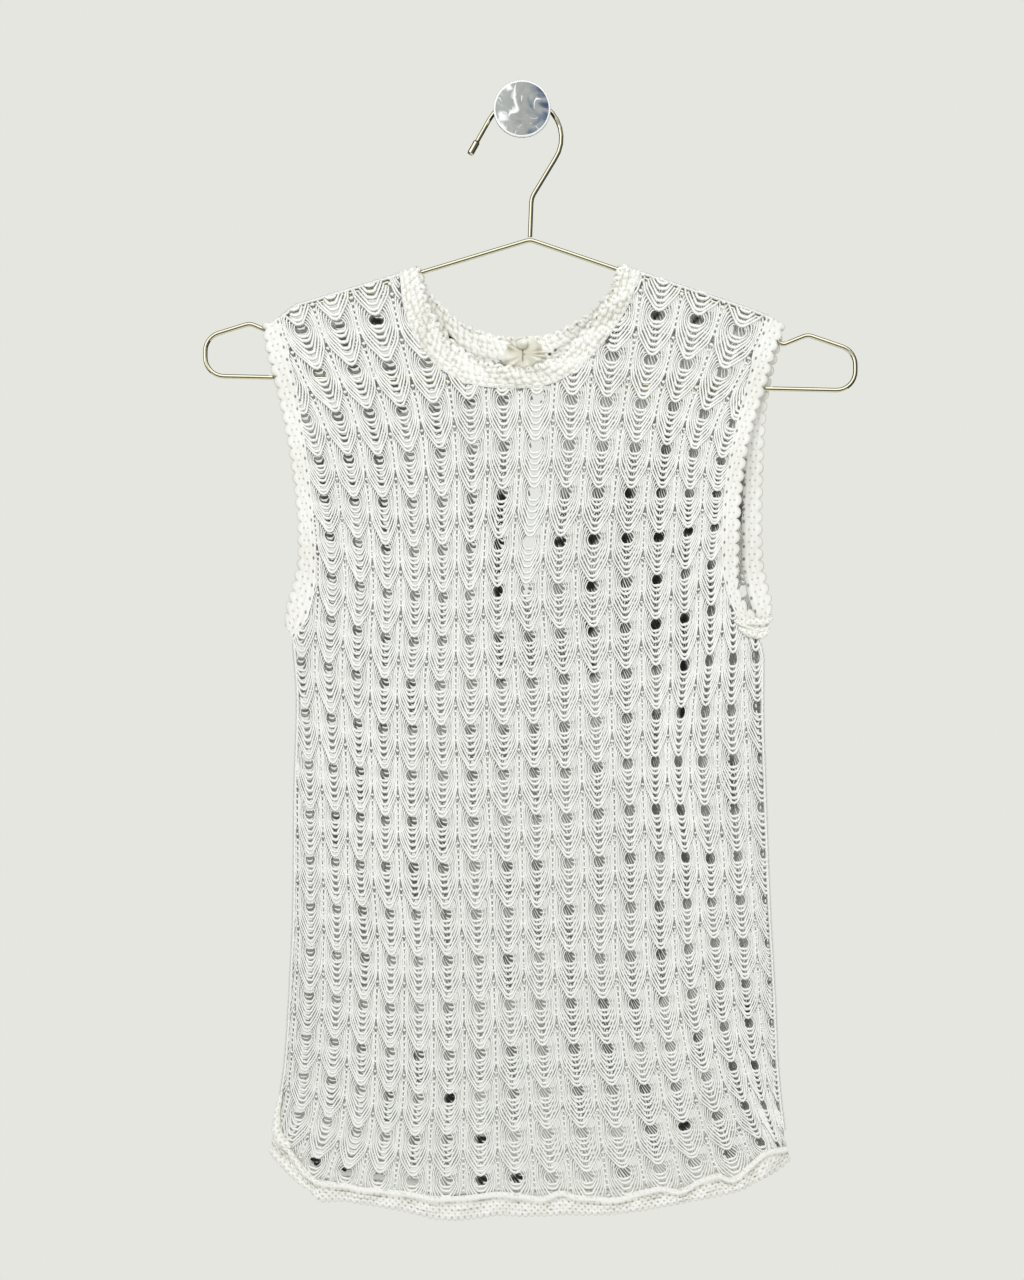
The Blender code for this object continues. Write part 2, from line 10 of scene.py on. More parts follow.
import bmesh
import bpy
import numpy as np
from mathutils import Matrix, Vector


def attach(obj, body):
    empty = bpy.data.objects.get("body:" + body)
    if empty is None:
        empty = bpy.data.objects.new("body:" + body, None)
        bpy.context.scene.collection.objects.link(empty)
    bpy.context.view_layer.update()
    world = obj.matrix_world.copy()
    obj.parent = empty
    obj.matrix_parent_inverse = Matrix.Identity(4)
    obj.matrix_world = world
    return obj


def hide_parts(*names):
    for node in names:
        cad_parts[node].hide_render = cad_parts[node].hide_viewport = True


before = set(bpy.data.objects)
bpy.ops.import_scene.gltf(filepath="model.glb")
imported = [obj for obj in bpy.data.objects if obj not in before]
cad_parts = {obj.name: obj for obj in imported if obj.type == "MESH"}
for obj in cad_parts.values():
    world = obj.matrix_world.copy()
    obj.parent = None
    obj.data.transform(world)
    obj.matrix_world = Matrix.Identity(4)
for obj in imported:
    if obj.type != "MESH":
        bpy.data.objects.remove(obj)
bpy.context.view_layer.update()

MM = 0.001
HANGER_PLANE = -50 * MM
ROOT = "root"
SEED = 41

# Where the camera stands, square on to the hanger's plane, in millimetres
VIEW_X = -6.6
VIEW_Z = -348.3
CAMERA_DISTANCE = 1900

# ==== The top's form, in the solids' own sizes, in millimetres ====

PANEL_WALL = 1.6
BAND_WALL = 2.4
SEAM_GAP = 0.3
RIDGE_DROP = 5
SIDE_ROUNDING = 5
UNDERARM_Z = -348
HEM_BAND_HEIGHT = 13
SLIT_HALF_WIDTH = 2.5
SLIT_FOOT = -322
SLIT_TAPER = 20
CROWN_DROPS = (1.2, 5)

# How far to each side of a place its slope is measured, and the steepest that it may be
SLOPE_REACH = 0.6
STEEPEST = 1.5


def table(kind, *rows):
    """The rows of a table, each with its columns named."""
    return tuple(kind(*row) for row in rows)


Ridge = namedtuple("Ridge", "x z")
RIDGE = table(
    Ridge,
    (-173, -140.6), (-165.6, -139.8), (-162, -137.4), (-154.4, -130.6),
    (-148.5, -126.8), (5.3, -80.4), (148, -128.8), (154, -130.9),
    (160.6, -133.6), (165.6, -137), (174, -142.2),
)

Section = namedtuple("Section", "z front_left front_mid front_right back_left back_mid back_right")
SECTIONS = table(
    Section,
    (-100, 2.6, 2.6, 2.6, 2.6, 2.6, 2.6),
    (-190, 2.5, 3.6, 3.2, 2.5, 3.2, 2.5),
    (-260, 1.8, 6.5, 7.0, 1.8, 5.5, 2.0),
    (-310, 1.2, 8.5, 5.5, 1.2, 7.0, 1.6),
    (-348, 0.15, 9.6, 0.15, 0.15, 8.6, 0.15),
    (-450, 0.15, 12.2, 0.15, 0.15, 11.2, 0.15),
    (-600, 0.15, 15.5, 0.15, 0.15, 14.5, 0.15),
    (-735, 0.15, 19, 0.15, 0.15, 18, 0.15),
)

Side = namedtuple("Side", "z left right")
SIDES = table(
    Side,
    (-348, -151.3, 156.8), (-362, -150.2, 159.3), (-388, -148.6, 159.2),
    (-454, -150.4, 161), (-520, -150.9, 163.4), (-586, -153.8, 167),
    (-626, -156.5, 168.8), (-652, -160.2, 171), (-677, -163.8, 174.2),
)

BandRow = namedtuple("BandRow", "seam_x seam_z edge_x edge_z")
LEFT_ARMHOLE = table(
    BandRow,
    (-160.4, -136.0, -170.5, -140.3),
    (-156.6, -153.6, -168.3, -157.0),
    (-150.8, -174.7, -163.0, -176.7),
    (-147.2, -196.5, -158.2, -197.8),
    (-143.9, -216.3, -154.2, -216.9),
    (-140.6, -242.7, -150.3, -242.7),
    (-137.9, -272.4, -147.4, -272.4),
    (-136.6, -295.5, -147.2, -294.1),
    (-138.3, -318.6, -150.9, -312.0),
    (-144.0, -336.2, -154.9, -325.2),
    (-151.3, -348.0, -156.6, -338.2),
)
RIGHT_FRONT_ARMHOLE = table(
    BandRow,
    (162.4, -135.0, 172.9, -141.5),
    (155.8, -153.6, 166.6, -157.0),
    (150.3, -173.4, 161.6, -175.3),
    (145.2, -193.2, 155.4, -195.2),
    (139.9, -214.3, 149.8, -214.8),
    (135.3, -239.4, 145.1, -240.2),
    (132.7, -265.7, 142.9, -265.4),
    (132.2, -295.5, 142.1, -293.8),
    (135.6, -316.6, 141.8, -310.0),
    (143.4, -333.7, 147.0, -324.5),
    (156.8, -348.0, 160.8, -337.4),
)
RIGHT_BACK_ARMHOLE = table(
    BandRow,
    (162.4, -135.0, 172.9, -141.5),
    (158.2, -153.6, 169.4, -157.4),
    (152.7, -175.3, 164.2, -176.7),
    (149.8, -196.5, 161.0, -196.5),
    (147.8, -219.6, 159.5, -219.6),
    (146.5, -242.7, 158.6, -242.7),
    (145.9, -269.0, 158.1, -269.0),
    (145.9, -295.5, 158.7, -294.6),
    (149.0, -314.0, 161.5, -310.0),
    (153.6, -331.0, 164.6, -323.8),
    (156.8, -348.0, 165.0, -335.0),
)
FRONT_NECK = table(
    BandRow,
    (-80, -106.5, -67.5, -102.7),
    (-77.6, -127.5, -63.6, -120.5),
    (-69.8, -148.4, -56.2, -137.0),
    (-59.8, -162.6, -47.6, -149.0),
    (-48.8, -172.0, -37.4, -158.0),
    (-35.0, -178.6, -26.0, -164.0),
    (-18.0, -181.3, -13.0, -167.4),
    (0.0, -181.6, 0.0, -168.4),
    (15.0, -179.8, 11.0, -166.4),
    (28.5, -174.3, 22.4, -160.8),
    (40.3, -165.4, 33.2, -152.0),
    (51.2, -154.0, 43.2, -140.8),
    (61.6, -140.6, 51.6, -128.6),
    (70.6, -124.6, 58.8, -115.6),
    (77.5, -105.4, 64.5, -100.9),
)
BACK_NECK = table(
    BandRow,
    (-80, -106.5, -67.5, -102.7),
    (-74.8, -124.0, -62.0, -116.5),
    (-63.4, -138.5, -52.4, -127.5),
    (-50.2, -149.6, -41.4, -137.2),
    (-35.2, -157.4, -29.6, -143.2),
    (-18.6, -162.0, -16.4, -147.0),
    (-2.4, -163.6, -3.6, -148.6),
    (3.6, -163.6, 3.2, -148.6),
    (19.0, -162.0, 16.0, -146.6),
    (33.0, -156.6, 28.0, -141.8),
    (46.4, -148.4, 39.4, -135.4),
    (60.0, -137.2, 49.6, -126.6),
    (71.0, -123.4, 58.4, -115.0),
    (77.5, -105.4, 64.5, -100.9),
)

Hem = namedtuple("Hem", "x z")
HEM = table(
    Hem,
    (-165, -684.5), (-156, -691.5), (-146.5, -700.7), (-138.6, -709.3),
    (-131.3, -715.4), (-116.8, -715), (-103.6, -716.5), (-87, -719.2),
    (-70.6, -723.1), (-54, -726.8), (-41, -726.8), (-14.5, -724), (5.3, -724.4),
    (31.7, -723.8), (58, -723.1), (78, -720.8), (97.7, -717.2), (117.5, -713.9),
    (144, -707.3), (158.4, -701.3), (170.3, -696.4), (177, -691),
)

# How far the front's hem seam is above its free edge
Rise = namedtuple("Rise", "x height")
HEM_RISES = table(
    Rise,
    (-165, 9), (-154, 11.5), (-146, 10), (-138, 10.5), (-131, 12.6),
    (-117, 10.6), (-104, 10.3), (-87, 11.3), (-71, 12.6), (-54, 13.9),
    (-41, 14.6), (-21, 14.3), (-8, 13.9), (2, 13), (12, 11.3), (25, 14.6),
    (35, 12), (51, 10.6), (65, 9.8), (78, 12.3), (88, 12.6), (104, 8.4),
    (117, 12.6), (127, 13.9), (137, 9), (147, 12.6), (160, 16), (170, 13),
    (177, 8),
)

Fold = namedtuple("Fold", "x0 z0 x1 z1 width height")
FRONT_FOLDS = table(
    Fold,
    (137, -205, 112, -318, 9, 2.4),
    (122, -300, 148, -372, 8, 2.2),
    (-126, -292, -140, -380, 9, 1.8),
    (-92, -560, -122, -900, 14, 2.6),
    (-22, -600, -34, -900, 16, 2.2),
    (58, -585, 74, -900, 15, 2.6),
    (124, -560, 164, -860, 12, 2.2),
)
BACK_FOLDS = table(
    Fold,
    (128, -290, 142, -390, 9, 2.0),
    (-122, -290, -138, -390, 9, 2.0),
    (-70, -570, -92, -900, 16, 2.4),
    (12, -600, 22, -900, 16, 2.4),
    (98, -580, 122, -900, 14, 2.4),
)

# Where the inside of the back is in shadow, in millimetres: wide soft patches, then single
# eyelets that show as dark gaps, whose yarn is thicker
Shadow = namedtuple("Shadow", "x z width height depth")
INNER_SHADOWS = table(
    Shadow,
    (60, -285, 50, 55, 0.5),
    (100, -380, 24, 90, 0.3),
    (-15, -280, 12, 60, 0.5),
    (-110, -690, 50, 16, 0.2),
    (110, -620, 50, 50, 0.25),
    (152, -285, 9, 42, 0.8),
    (-90, -230, 60, 60, 0.2),
)
DARK_GAPS = table(
    Shadow,
    (-13, -256, 4, 5, 1), (25, -284, 5, 3, 1), (46, -282, 4, 5, 1),
    (67, -282, 4, 5, 1), (90, -280, 5, 4, 1), (69, -252, 4, 4, 0.9),
    (111, -275, 4, 4, 0.9), (45, -311, 4, 6, 1), (88, -309, 4, 5, 1),
    (106, -335, 4, 5, 1), (88, -339, 4, 5, 1), (107, -396, 3, 6, 1),
    (106, -367, 3, 5, 1), (44, -340, 4, 5, 0.9), (-14, -317, 4, 7, 0.8),
    (88, -134, 5, 3, 0.9), (115, -137, 6, 3, 0.8), (-96, -138, 5, 3, 0.9),
    (-47, -651, 4, 5, 1), (-26, -678, 5, 3, 1), (-26, -704, 5, 4, 1),
    (-3, -703, 6, 3, 0.7), (-120, -700, 7, 4, 1), (-139, -693, 5, 4, 1),
    (-95, -703, 7, 3, 0.5), (107, -669, 5, 5, 0.9), (150, -592, 4, 6, 0.8),
    (-74, -624, 4, 5, 0.7), (128, -268, 4, 5, 0.7), (46, -367, 4, 5, 0.7),
)

# Painted shade on the inside of the top, where the other face shades it: its lightest tone on the
# front and the back, its darkest, how much is painted all over and behind the ladders, and how much
# of a shadow patch is painted off the ladders and on them
FRONT_INSIDE_SHADE = 0.85
BACK_INSIDE_SHADE = 0.80
DARKEST_SHADE = 0.03
SHADOW_ALL_OVER = 0.08
SHADOW_OF_LADDER = 0.42
LADDER_HALF_WIDTH = 0.22
PATCH_PLAIN, PATCH_LADDER = 0.15, 0.85
GAP_SHARPNESS = 1.8
GAP_FULLNESS = 0.85

# How far the lace reaches under a band, and how far short of the side seams it ends
LACE_TUCK = 1.2
LACE_SHORT = 0.4

# ==== The lattice of eyelets and the chart of one repeat ====

COLUMNS = (-8, -4, 0, 4, 6, 8)
Lattice = namedtuple("Lattice", "row left8 left4 middle right4 right6 right8")
EYELETS_ACROSS = table(
    Lattice,
    (1, -193.4, -95.7, 10.8, 115.5, 168.1, 216.5),
    (4, -153.3, -74.6, 9.2, 95.1, 130.7, 165.9),
    (7, -143.9, -70.6, 3.3, 89.1, 125.4, 157.1),
    (9, -145.2, -72.6, 6.6, 88.5, 123.4, 153.8),
    (11, -140.6, -72.6, 8.6, 87.8, 118.8, 159.1),
    (13, -139.9, -71.3, 10.6, 90.4, 124.1, 159.7),
    (15, -139.2, -68.0, 11.2, 91.7, 127.4, 163.7),
    (17, -141.9, -68.0, 13.9, 97.7, 133.3, 165.7),
    (19, -146.5, -70.6, 17.2, 106.9, 146.5, 169.6),
    (20, -156.5, -72.6, 19.8, 113.5, 156.4, 179.1),
)
EYELETS_UP = table(
    Lattice,
    (1, -151.4, -137.7, -130.5, -137.1, -155.8, -178.9),
    (4, -230.6, -227.5, -219.6, -222.9, -229.5, -238.3),
    (7, -301.0, -319.9, -315.3, -308.7, -298.8, -288.9),
    (9, -363.4, -378.0, -376.6, -367.4, -362.1, -359.3),
    (11, -430.8, -438.0, -436.7, -428.1, -428.1, -425.3),
    (13, -493.5, -498.1, -496.8, -490.8, -492.1, -489.5),
    (15, -553.5, -560.1, -558.1, -556.2, -548.2, -548.2),
    (17, -609.6, -622.2, -618.9, -616.2, -602.4, -601.0),
    (19, -659.8, -678.3, -674.3, -669.0, -654.5, -656.3),
    (20, -686.5, -704.7, -703.3, -692.8, -678.9, -687.1),
)
LATTICE_COLUMNS = range(-10, 12)
LATTICE_ROWS = range(-2, 24)

# Half of each strand, in hundredths of the repeat's width and height from its eyelet's centre:
# out of the strands above, round the eyelet, down to the rung that joins the two halves
CHART = (
    ((9, -13), (15, -11), (20, -4), (20.7, 2), (17, 9), (9.5, 14.5), (0, 15)),
    ((13, -20), (20, -14), (25, -6), (25.7, 3), (22, 11), (15, 18.5), (9, 24), (0, 25.5)),
    ((18, -27), (25, -20), (29.5, -8), (30.4, 4), (27, 14), (20, 24), (13, 32.5), (8.5, 37.5),
     (0, 38.5)),
    ((24, -34), (31, -24), (34.5, -9), (34.8, 5), (32, 16), (26, 27), (18, 39), (12, 47.5),
     (8, 51), (0, 52)),
    ((29, -41), (36, -30), (39, -12), (39, 6), (36.5, 21), (31, 33), (22, 46.5), (12.5, 60),
     (8, 64.5), (0, 65.5)),
    ((34, -48), (40.5, -36), (43, -16), (43, 6), (41, 26), (36, 40), (27, 53.5), (14, 70.5),
     (8, 76.5), (0, 77.8)),
    ((39, -55), (44.3, -42), (45.8, -20), (46, 6), (45.2, 29), (41, 45), (32.5, 58), (18, 75),
     (8.5, 85), (0, 87.5)),
)
ARM_RADIUS = 0.60
RUNG_RADIUS = 1.12
RUNG_HALF_WIDTH = 0.16
RUNG_HEIGHT = 0.12
BESIDE_EYELET = 0.15
SLIMMER_BESIDE = 0.17
DIP = 0.4
PUFF = 0.35
END_SINK = 0.6
END_SLIMMER = 0.1
# Painted shade: odd strands darker beside the eyelet, where they dip, and every strand darker at
# its ends, where it goes under the others
ODD_STRAND_SHADE = 0.10
END_SHADE = 0.08
RIB_RADIUS, RIB_LIFT, RIB_SHADE = 0.95, 0.1, 0.98
RIB_RUNGS = 7
RIB_START = -0.53
RIB_STEP = 0.128
RIB_BAR = ((0.462, 0.012), (0.5, -0.006), (0.538, 0.012))


class Curve:
    """A smooth curve through a column of values, with no overshoot and flat past its ends."""

    def __init__(self, places, values):
        order = np.argsort(places)
        self.places = np.array(places, float)[order]
        self.values = np.array(values, float)[order]
        self.steps = np.diff(self.places)
        slopes = np.diff(self.values) / self.steps
        before, after = slopes[:-1], slopes[1:]
        same_way = before * after > 0
        total = np.where(same_way, before + after, 1)
        inner = np.where(same_way, 2 * before * after / total, 0)
        self.tangents = np.concatenate([slopes[:1], inner, slopes[-1:]])

    def __call__(self, at):
        at = np.clip(at, self.places[0], self.places[-1])
        i = np.searchsorted(self.places, at, side="right") - 1
        i = np.clip(i, 0, len(self.steps) - 1)
        t = (at - self.places[i]) / self.steps[i]
        start = (1 + 2 * t) * (1 - t) ** 2 * self.values[i]
        start += t * (1 - t) ** 2 * self.steps[i] * self.tangents[i]
        end = t * t * (3 - 2 * t) * self.values[i + 1]
        return start + end - t * t * (1 - t) * self.steps[i] * self.tangents[i + 1]

    def straight_on(self, at):
        """The curve, but going straight on past its ends."""
        before = np.minimum(0, at - self.places[0]) * self.tangents[0]
        return self(at) + before + np.maximum(0, at - self.places[-1]) * self.tangents[-1]


def curve_of(table, place, column):
    return Curve([getattr(row, place) for row in table], [getattr(row, column) for row in table])


RIDGE_X = [row.x for row in RIDGE]
RIDGE_Z = [row.z for row in RIDGE]


def ridge_height(x):
    return np.interp(x, RIDGE_X, RIDGE_Z)


hem_edge = curve_of(HEM, "x", "z")
hem_rise = curve_of(HEM_RISES, "x", "height")
left_side = curve_of(SIDES, "z", "left")
right_side = curve_of(SIDES, "z", "right")


def between(first, second, share):
    return tuple(a + share * (b - a) for a, b in zip(first, second))


def band_sections(table, ends):
    """A band's sections, each a seam point and a free point, bent over the wire at its ends."""
    sections = [((row.seam_x, row.seam_z), (row.edge_x, row.edge_z)) for row in table]
    for end in ends:
        if end:
            sections.reverse()
        first = tuple((x, float(ridge_height(x))) for x, z in sections[0])
        second = sections[1]
        length = math.dist(first[0], second[0])
        crown = []
        for drop in CROWN_DROPS:
            crown.append(tuple(between(a, b, drop / length) for a, b in zip(first, second)))
        sections = [first] + crown + sections[1:]
        if end:
            sections.reverse()
    return sections


def far_from(spot, x, z, width, height):
    """How far places are from a spot, squared: 1 at its half width or its half height."""
    return ((x - spot.x) / width) ** 2 + ((z - spot.z) / height) ** 2


class Face:
    """The front or the back of the top, as a surface that its lace and bands share."""

    def __init__(self, name, left_armhole, right_armhole, neck, folds):
        self.name = name
        self.sign = -1 if name == "front" else 1
        self.left_armhole = band_sections(left_armhole, (0,))
        self.right_armhole = band_sections(right_armhole, (0,))
        self.neck = band_sections(neck, (0, 1))
        self.folds = folds
        self.edges = [curve_of(SECTIONS, "z", f"{name}_{part}") for part in ("left", "right")]
        self.middle = curve_of(SECTIONS, "z", f"{name}_mid")

    def armhole_seam(self, sections, z):
        seams = [seam for seam, free in sections][::-1]
        return np.interp(z, [seam[1] for seam in seams], [seam[0] for seam in seams])

    def sides_at(self, z):
        low = z <= UNDERARM_Z
        left = np.where(low, left_side(z), self.armhole_seam(self.left_armhole, z))
        right = np.where(low, right_side(z), self.armhole_seam(self.right_armhole, z))
        return left, right

    def fold_height(self, x, z):
        total = np.zeros_like(x)
        for fold in self.folds:
            run_x, run_z = fold.x1 - fold.x0, fold.z1 - fold.z0
            length = math.hypot(run_x, run_z)
            along = ((x - fold.x0) * run_x + (z - fold.z0) * run_z) / length**2
            across = ((x - fold.x0) * run_z - (z - fold.z0) * run_x) / length / fold.width
            rise = np.sin(math.pi * np.clip(along, 0, 1)) * np.exp(-across * across)
            total += fold.height * rise
        return total

    def half_depth(self, x, z, wall):
        """From the hanger's plane to the middle of the cloth, as the solids have it."""
        left, right = self.sides_at(z)
        share = np.clip((x - left) / (right - left), 0, 1)
        side = 2 * share - 1
        edge = np.where(side < 0, self.edges[0](z), self.edges[1](z))
        swell = np.cos(math.pi / 2 * np.abs(side) ** SIDE_ROUNDING)
        inside = edge + (self.middle(z) - edge) * swell
        inside += self.fold_height(x, z) * np.minimum(1, 2 * swell)
        drop = np.clip((ridge_height(x) - z) / RIDGE_DROP, 0, 1)
        inside = SEAM_GAP / 2 + (inside - SEAM_GAP / 2) * np.sqrt(drop)
        return inside + wall / 2

    def slope(self, x, z, wall, reach_x, reach_z):
        rise = self.half_depth(x + reach_x, z + reach_z, wall)
        rise = rise - self.half_depth(x - reach_x, z - reach_z, wall)
        return np.clip(rise / (2 * SLOPE_REACH), -STEEPEST, STEEPEST)

    def surface(self, x, z, wall=PANEL_WALL):
        """Points on the cloth's middle, in metres, and its normals there."""
        here = self.half_depth(x, z, wall)
        slope_x = self.slope(x, z, wall, SLOPE_REACH, 0)
        slope_z = self.slope(x, z, wall, 0, SLOPE_REACH)
        size = np.sqrt(1 + slope_x**2 + slope_z**2)
        normals = np.stack([-slope_x / size, self.sign / size, -slope_z / size], axis=-1)
        points = np.stack([x * MM, self.sign * here * MM + HANGER_PLANE, z * MM], axis=-1)
        return points, normals

    def place(self, x, z, lift, wall=PANEL_WALL):
        """Points lifted off the cloth's middle along its normals; metres."""
        points, normals = self.surface(x, z, wall)
        return points + normals * (np.asarray(lift) * MM)[..., None]

    def inner_shade(self, x, z, c, r):
        """How light the yarn is painted on the inside of the top, which shows through the other
        face: painted shade, deeper behind the ladders, in the shadow patches and in the dark gaps.
        """
        if self.name == "front":
            return np.full_like(x, FRONT_INSIDE_SHADE)
        column, row = np.round(c).astype(int), np.floor(r).astype(int)
        behind_rungs = np.exp(-(((c - column) / LADDER_HALF_WIDTH) ** 2))
        chance = ladder_chance[(column - LATTICE_COLUMNS[0]) % len(LATTICE_COLUMNS),
                               (row - LATTICE_ROWS[0]) % len(LATTICE_ROWS)]
        shadow = SHADOW_ALL_OVER + SHADOW_OF_LADDER * behind_rungs * chance**2
        for patch in INNER_SHADOWS:
            far = far_from(patch, x, z, patch.width, patch.height)
            share = PATCH_PLAIN + PATCH_LADDER * behind_rungs * chance
            shadow += patch.depth * np.exp(-far) * share
        shadow += self.shadow_gap_depth(x, z)
        return np.maximum(BACK_INSIDE_SHADE - shadow, DARKEST_SHADE)

    def shadow_gap_depth(self, x, z):
        """How deep in a painted dark gap places on the inside of the back are, 0 to 1: painted
        shadow.
        """
        seen = drawn_in(x, z)
        depth = np.zeros_like(x)
        for gap in DARK_GAPS:
            far = far_from(gap, *seen, gap.width, gap.height)
            depth = np.maximum(depth, gap.depth * np.exp(-GAP_SHARPNESS * far * far))
        return depth

    def fullness(self, x, z):
        """How much thicker the yarn is in the painted dark gaps, so that their painted shadow
        closes the back's eyelets.
        """
        return 1 + (GAP_FULLNESS * self.shadow_gap_depth(x, z) if self.name == "back" else 0)

    def hem_seam_height(self, x):
        return hem_edge(x) + (hem_rise(x) if self.name == "front" else HEM_BAND_HEIGHT)

    def covers(self, x, z, margin):
        """Where the lace is: inside the seams with the bands, and a margin past them."""
        left, right = self.sides_at(z)
        neck = [seam for seam, free in self.neck]
        neck_x, neck_z = [seam[0] for seam in neck], [seam[1] for seam in neck]
        in_neck = (x > neck_x[0]) & (x < neck_x[-1])
        top = np.where(in_neck, np.interp(x, neck_x, neck_z), ridge_height(x))
        low = z < UNDERARM_Z
        side_margin = np.where(low, -LACE_SHORT, margin)
        inside = (x > left - side_margin) & (x < right + side_margin)
        inside &= z < top + np.where(in_neck, margin, 0)
        inside &= z > self.hem_seam_height(x) - margin
        if self.name == "back":
            wide = SLIT_HALF_WIDTH * np.clip((z - SLIT_FOOT) / SLIT_TAPER, 0, 1)
            inside &= np.abs(x - slit_across(z)) > wide
        return inside


front = Face("front", LEFT_ARMHOLE, RIGHT_FRONT_ARMHOLE, FRONT_NECK, FRONT_FOLDS)
back = Face("back", LEFT_ARMHOLE, RIGHT_BACK_ARMHOLE, BACK_NECK, BACK_FOLDS)


# ==== Lattice: from a place in columns and rows to a place across and up ====


def lattice_of(table, rng, unevenness):
    """Heights or places of every eyelet, a little uneven."""
    rows, columns = np.array(LATTICE_ROWS, float), np.array(LATTICE_COLUMNS)
    knots = [curve_of(table, "row", name).straight_on(rows) for name in Lattice._fields[1:]]
    grid = np.transpose([Curve(COLUMNS, row).straight_on(columns) for row in zip(*knots)])
    return grid + rng.normal(0, unevenness, grid.shape)


def cubic_weights(t):
    return (
        ((-t + 2) * t - 1) * t / 2,
        ((3 * t - 5) * t * t + 2) / 2,
        ((-3 * t + 4) * t + 1) * t / 2,
        (t - 1) * t * t / 2,
    )


def read_lattice(grid, column, row):
    c = column - LATTICE_COLUMNS[0]
    r = row - LATTICE_ROWS[0]
    c0 = np.clip(np.floor(c).astype(int), 1, grid.shape[0] - 3)
    r0 = np.clip(np.floor(r).astype(int), 1, grid.shape[1] - 3)
    across = cubic_weights(c - c0)
    up = cubic_weights(r - r0)
    value = 0
    for i in range(4):
        for j in range(4):
            value = value + across[i] * up[j] * grid[c0 + i - 1, r0 + j - 1]
    return value


# How far the front stands off the hanger's plane: at a height, per millimetre below it, at least;
# it falls away towards the sides
STAND_OFF, STAND_OFF_HEIGHT, STAND_OFF_GROWTH, LEAST_STAND_OFF = 4, -190, 0.03, 3
FRONT_MIDDLE, FRONT_HALF_WIDTH = 5, 170


def drawn_in(x, z):
    """Places seen in line with these from the front, where the cloth stands off the hanger."""
    depth = STAND_OFF + STAND_OFF_GROWTH * (STAND_OFF_HEIGHT - z)
    depth = np.clip(depth, LEAST_STAND_OFF, None)
    depth = depth * np.clip(1 - (np.abs(x - FRONT_MIDDLE) / FRONT_HALF_WIDTH) ** 4, 0, 1)
    nearer = 1 - depth / CAMERA_DISTANCE
    return VIEW_X + (x - VIEW_X) * nearer, VIEW_Z + (z - VIEW_Z) * nearer


UNEVEN_ACROSS, UNEVEN_UP = 0.35, 0.45

rng = np.random.default_rng(SEED)
lattice_x = lattice_of(EYELETS_ACROSS, rng, UNEVEN_ACROSS)
lattice_z = lattice_of(EYELETS_UP, rng, UNEVEN_UP)
lattice_x, lattice_z = drawn_in(lattice_x, lattice_z)

# How likely the ladder of rungs under each eyelet is to show dark, from shade painted on the back's
# inside behind it
ladder_chance = rng.random(lattice_x.shape)

# How far the back's repeats are out of step with the front's, and by how much per repeat
BACK_SHIFT = (0.2, 0.62)
BACK_STRETCH = (1.035, 1.02)

MIDDLE = LATTICE_COLUMNS.index(0)
SLIT_Z = lattice_z[MIDDLE][::-1]
SLIT_X = lattice_x[MIDDLE][::-1]


def slit_across(z):
    """The slit lies along the middle column of the lattice."""
    return np.interp(z, SLIT_Z, SLIT_X)


# ==== Yarn: four-sided tubes along many paths, in one mesh ====

# Turn round the yarn and how much of its radius it keeps there: yarn lies a little flat
SIDES_OF_YARN = ((0, 0.8), (math.pi / 2, 1), (math.pi, 0.8), (3 * math.pi / 2, 1))
# Painted shade on the yarn's flanks: how dark they are painted beside the crest, how far the shade
# painted inside pulls them darker, and by how much at most
SIDE_SHADE = 0.79
INNER_PULL = 0.85
DEEPEST_SIDE = 0.75

# Each strand's strip of the map: how much longer than high it is, its margins and its rows, and
# where its two end caps are
STRIP_SHAPE = 40
STRIP_END, STRIP_EDGE, STRIP_ROWS = 0.02, 0.05, 4.5
FIRST_CAP = ((0, 4.1), (0.02, 4.1), (0.02, 4.4), (0, 4.4))
TO_LAST_CAP = (0.9, 0)


def smooth(mesh):
    mesh.polygons.foreach_set("use_smooth", np.ones(len(mesh.polygons), bool))


def give_values(mesh, name, values):
    attribute = mesh.attributes.new(name, "FLOAT", "POINT")
    attribute.data.foreach_set("value", np.array(values, np.float32))


def lay_map(mesh, u, v):
    uv = mesh.uv_layers.new(name="OFBake")
    uv.data.foreach_set("uv", np.stack([u, v], axis=-1).ravel().astype(np.float32))


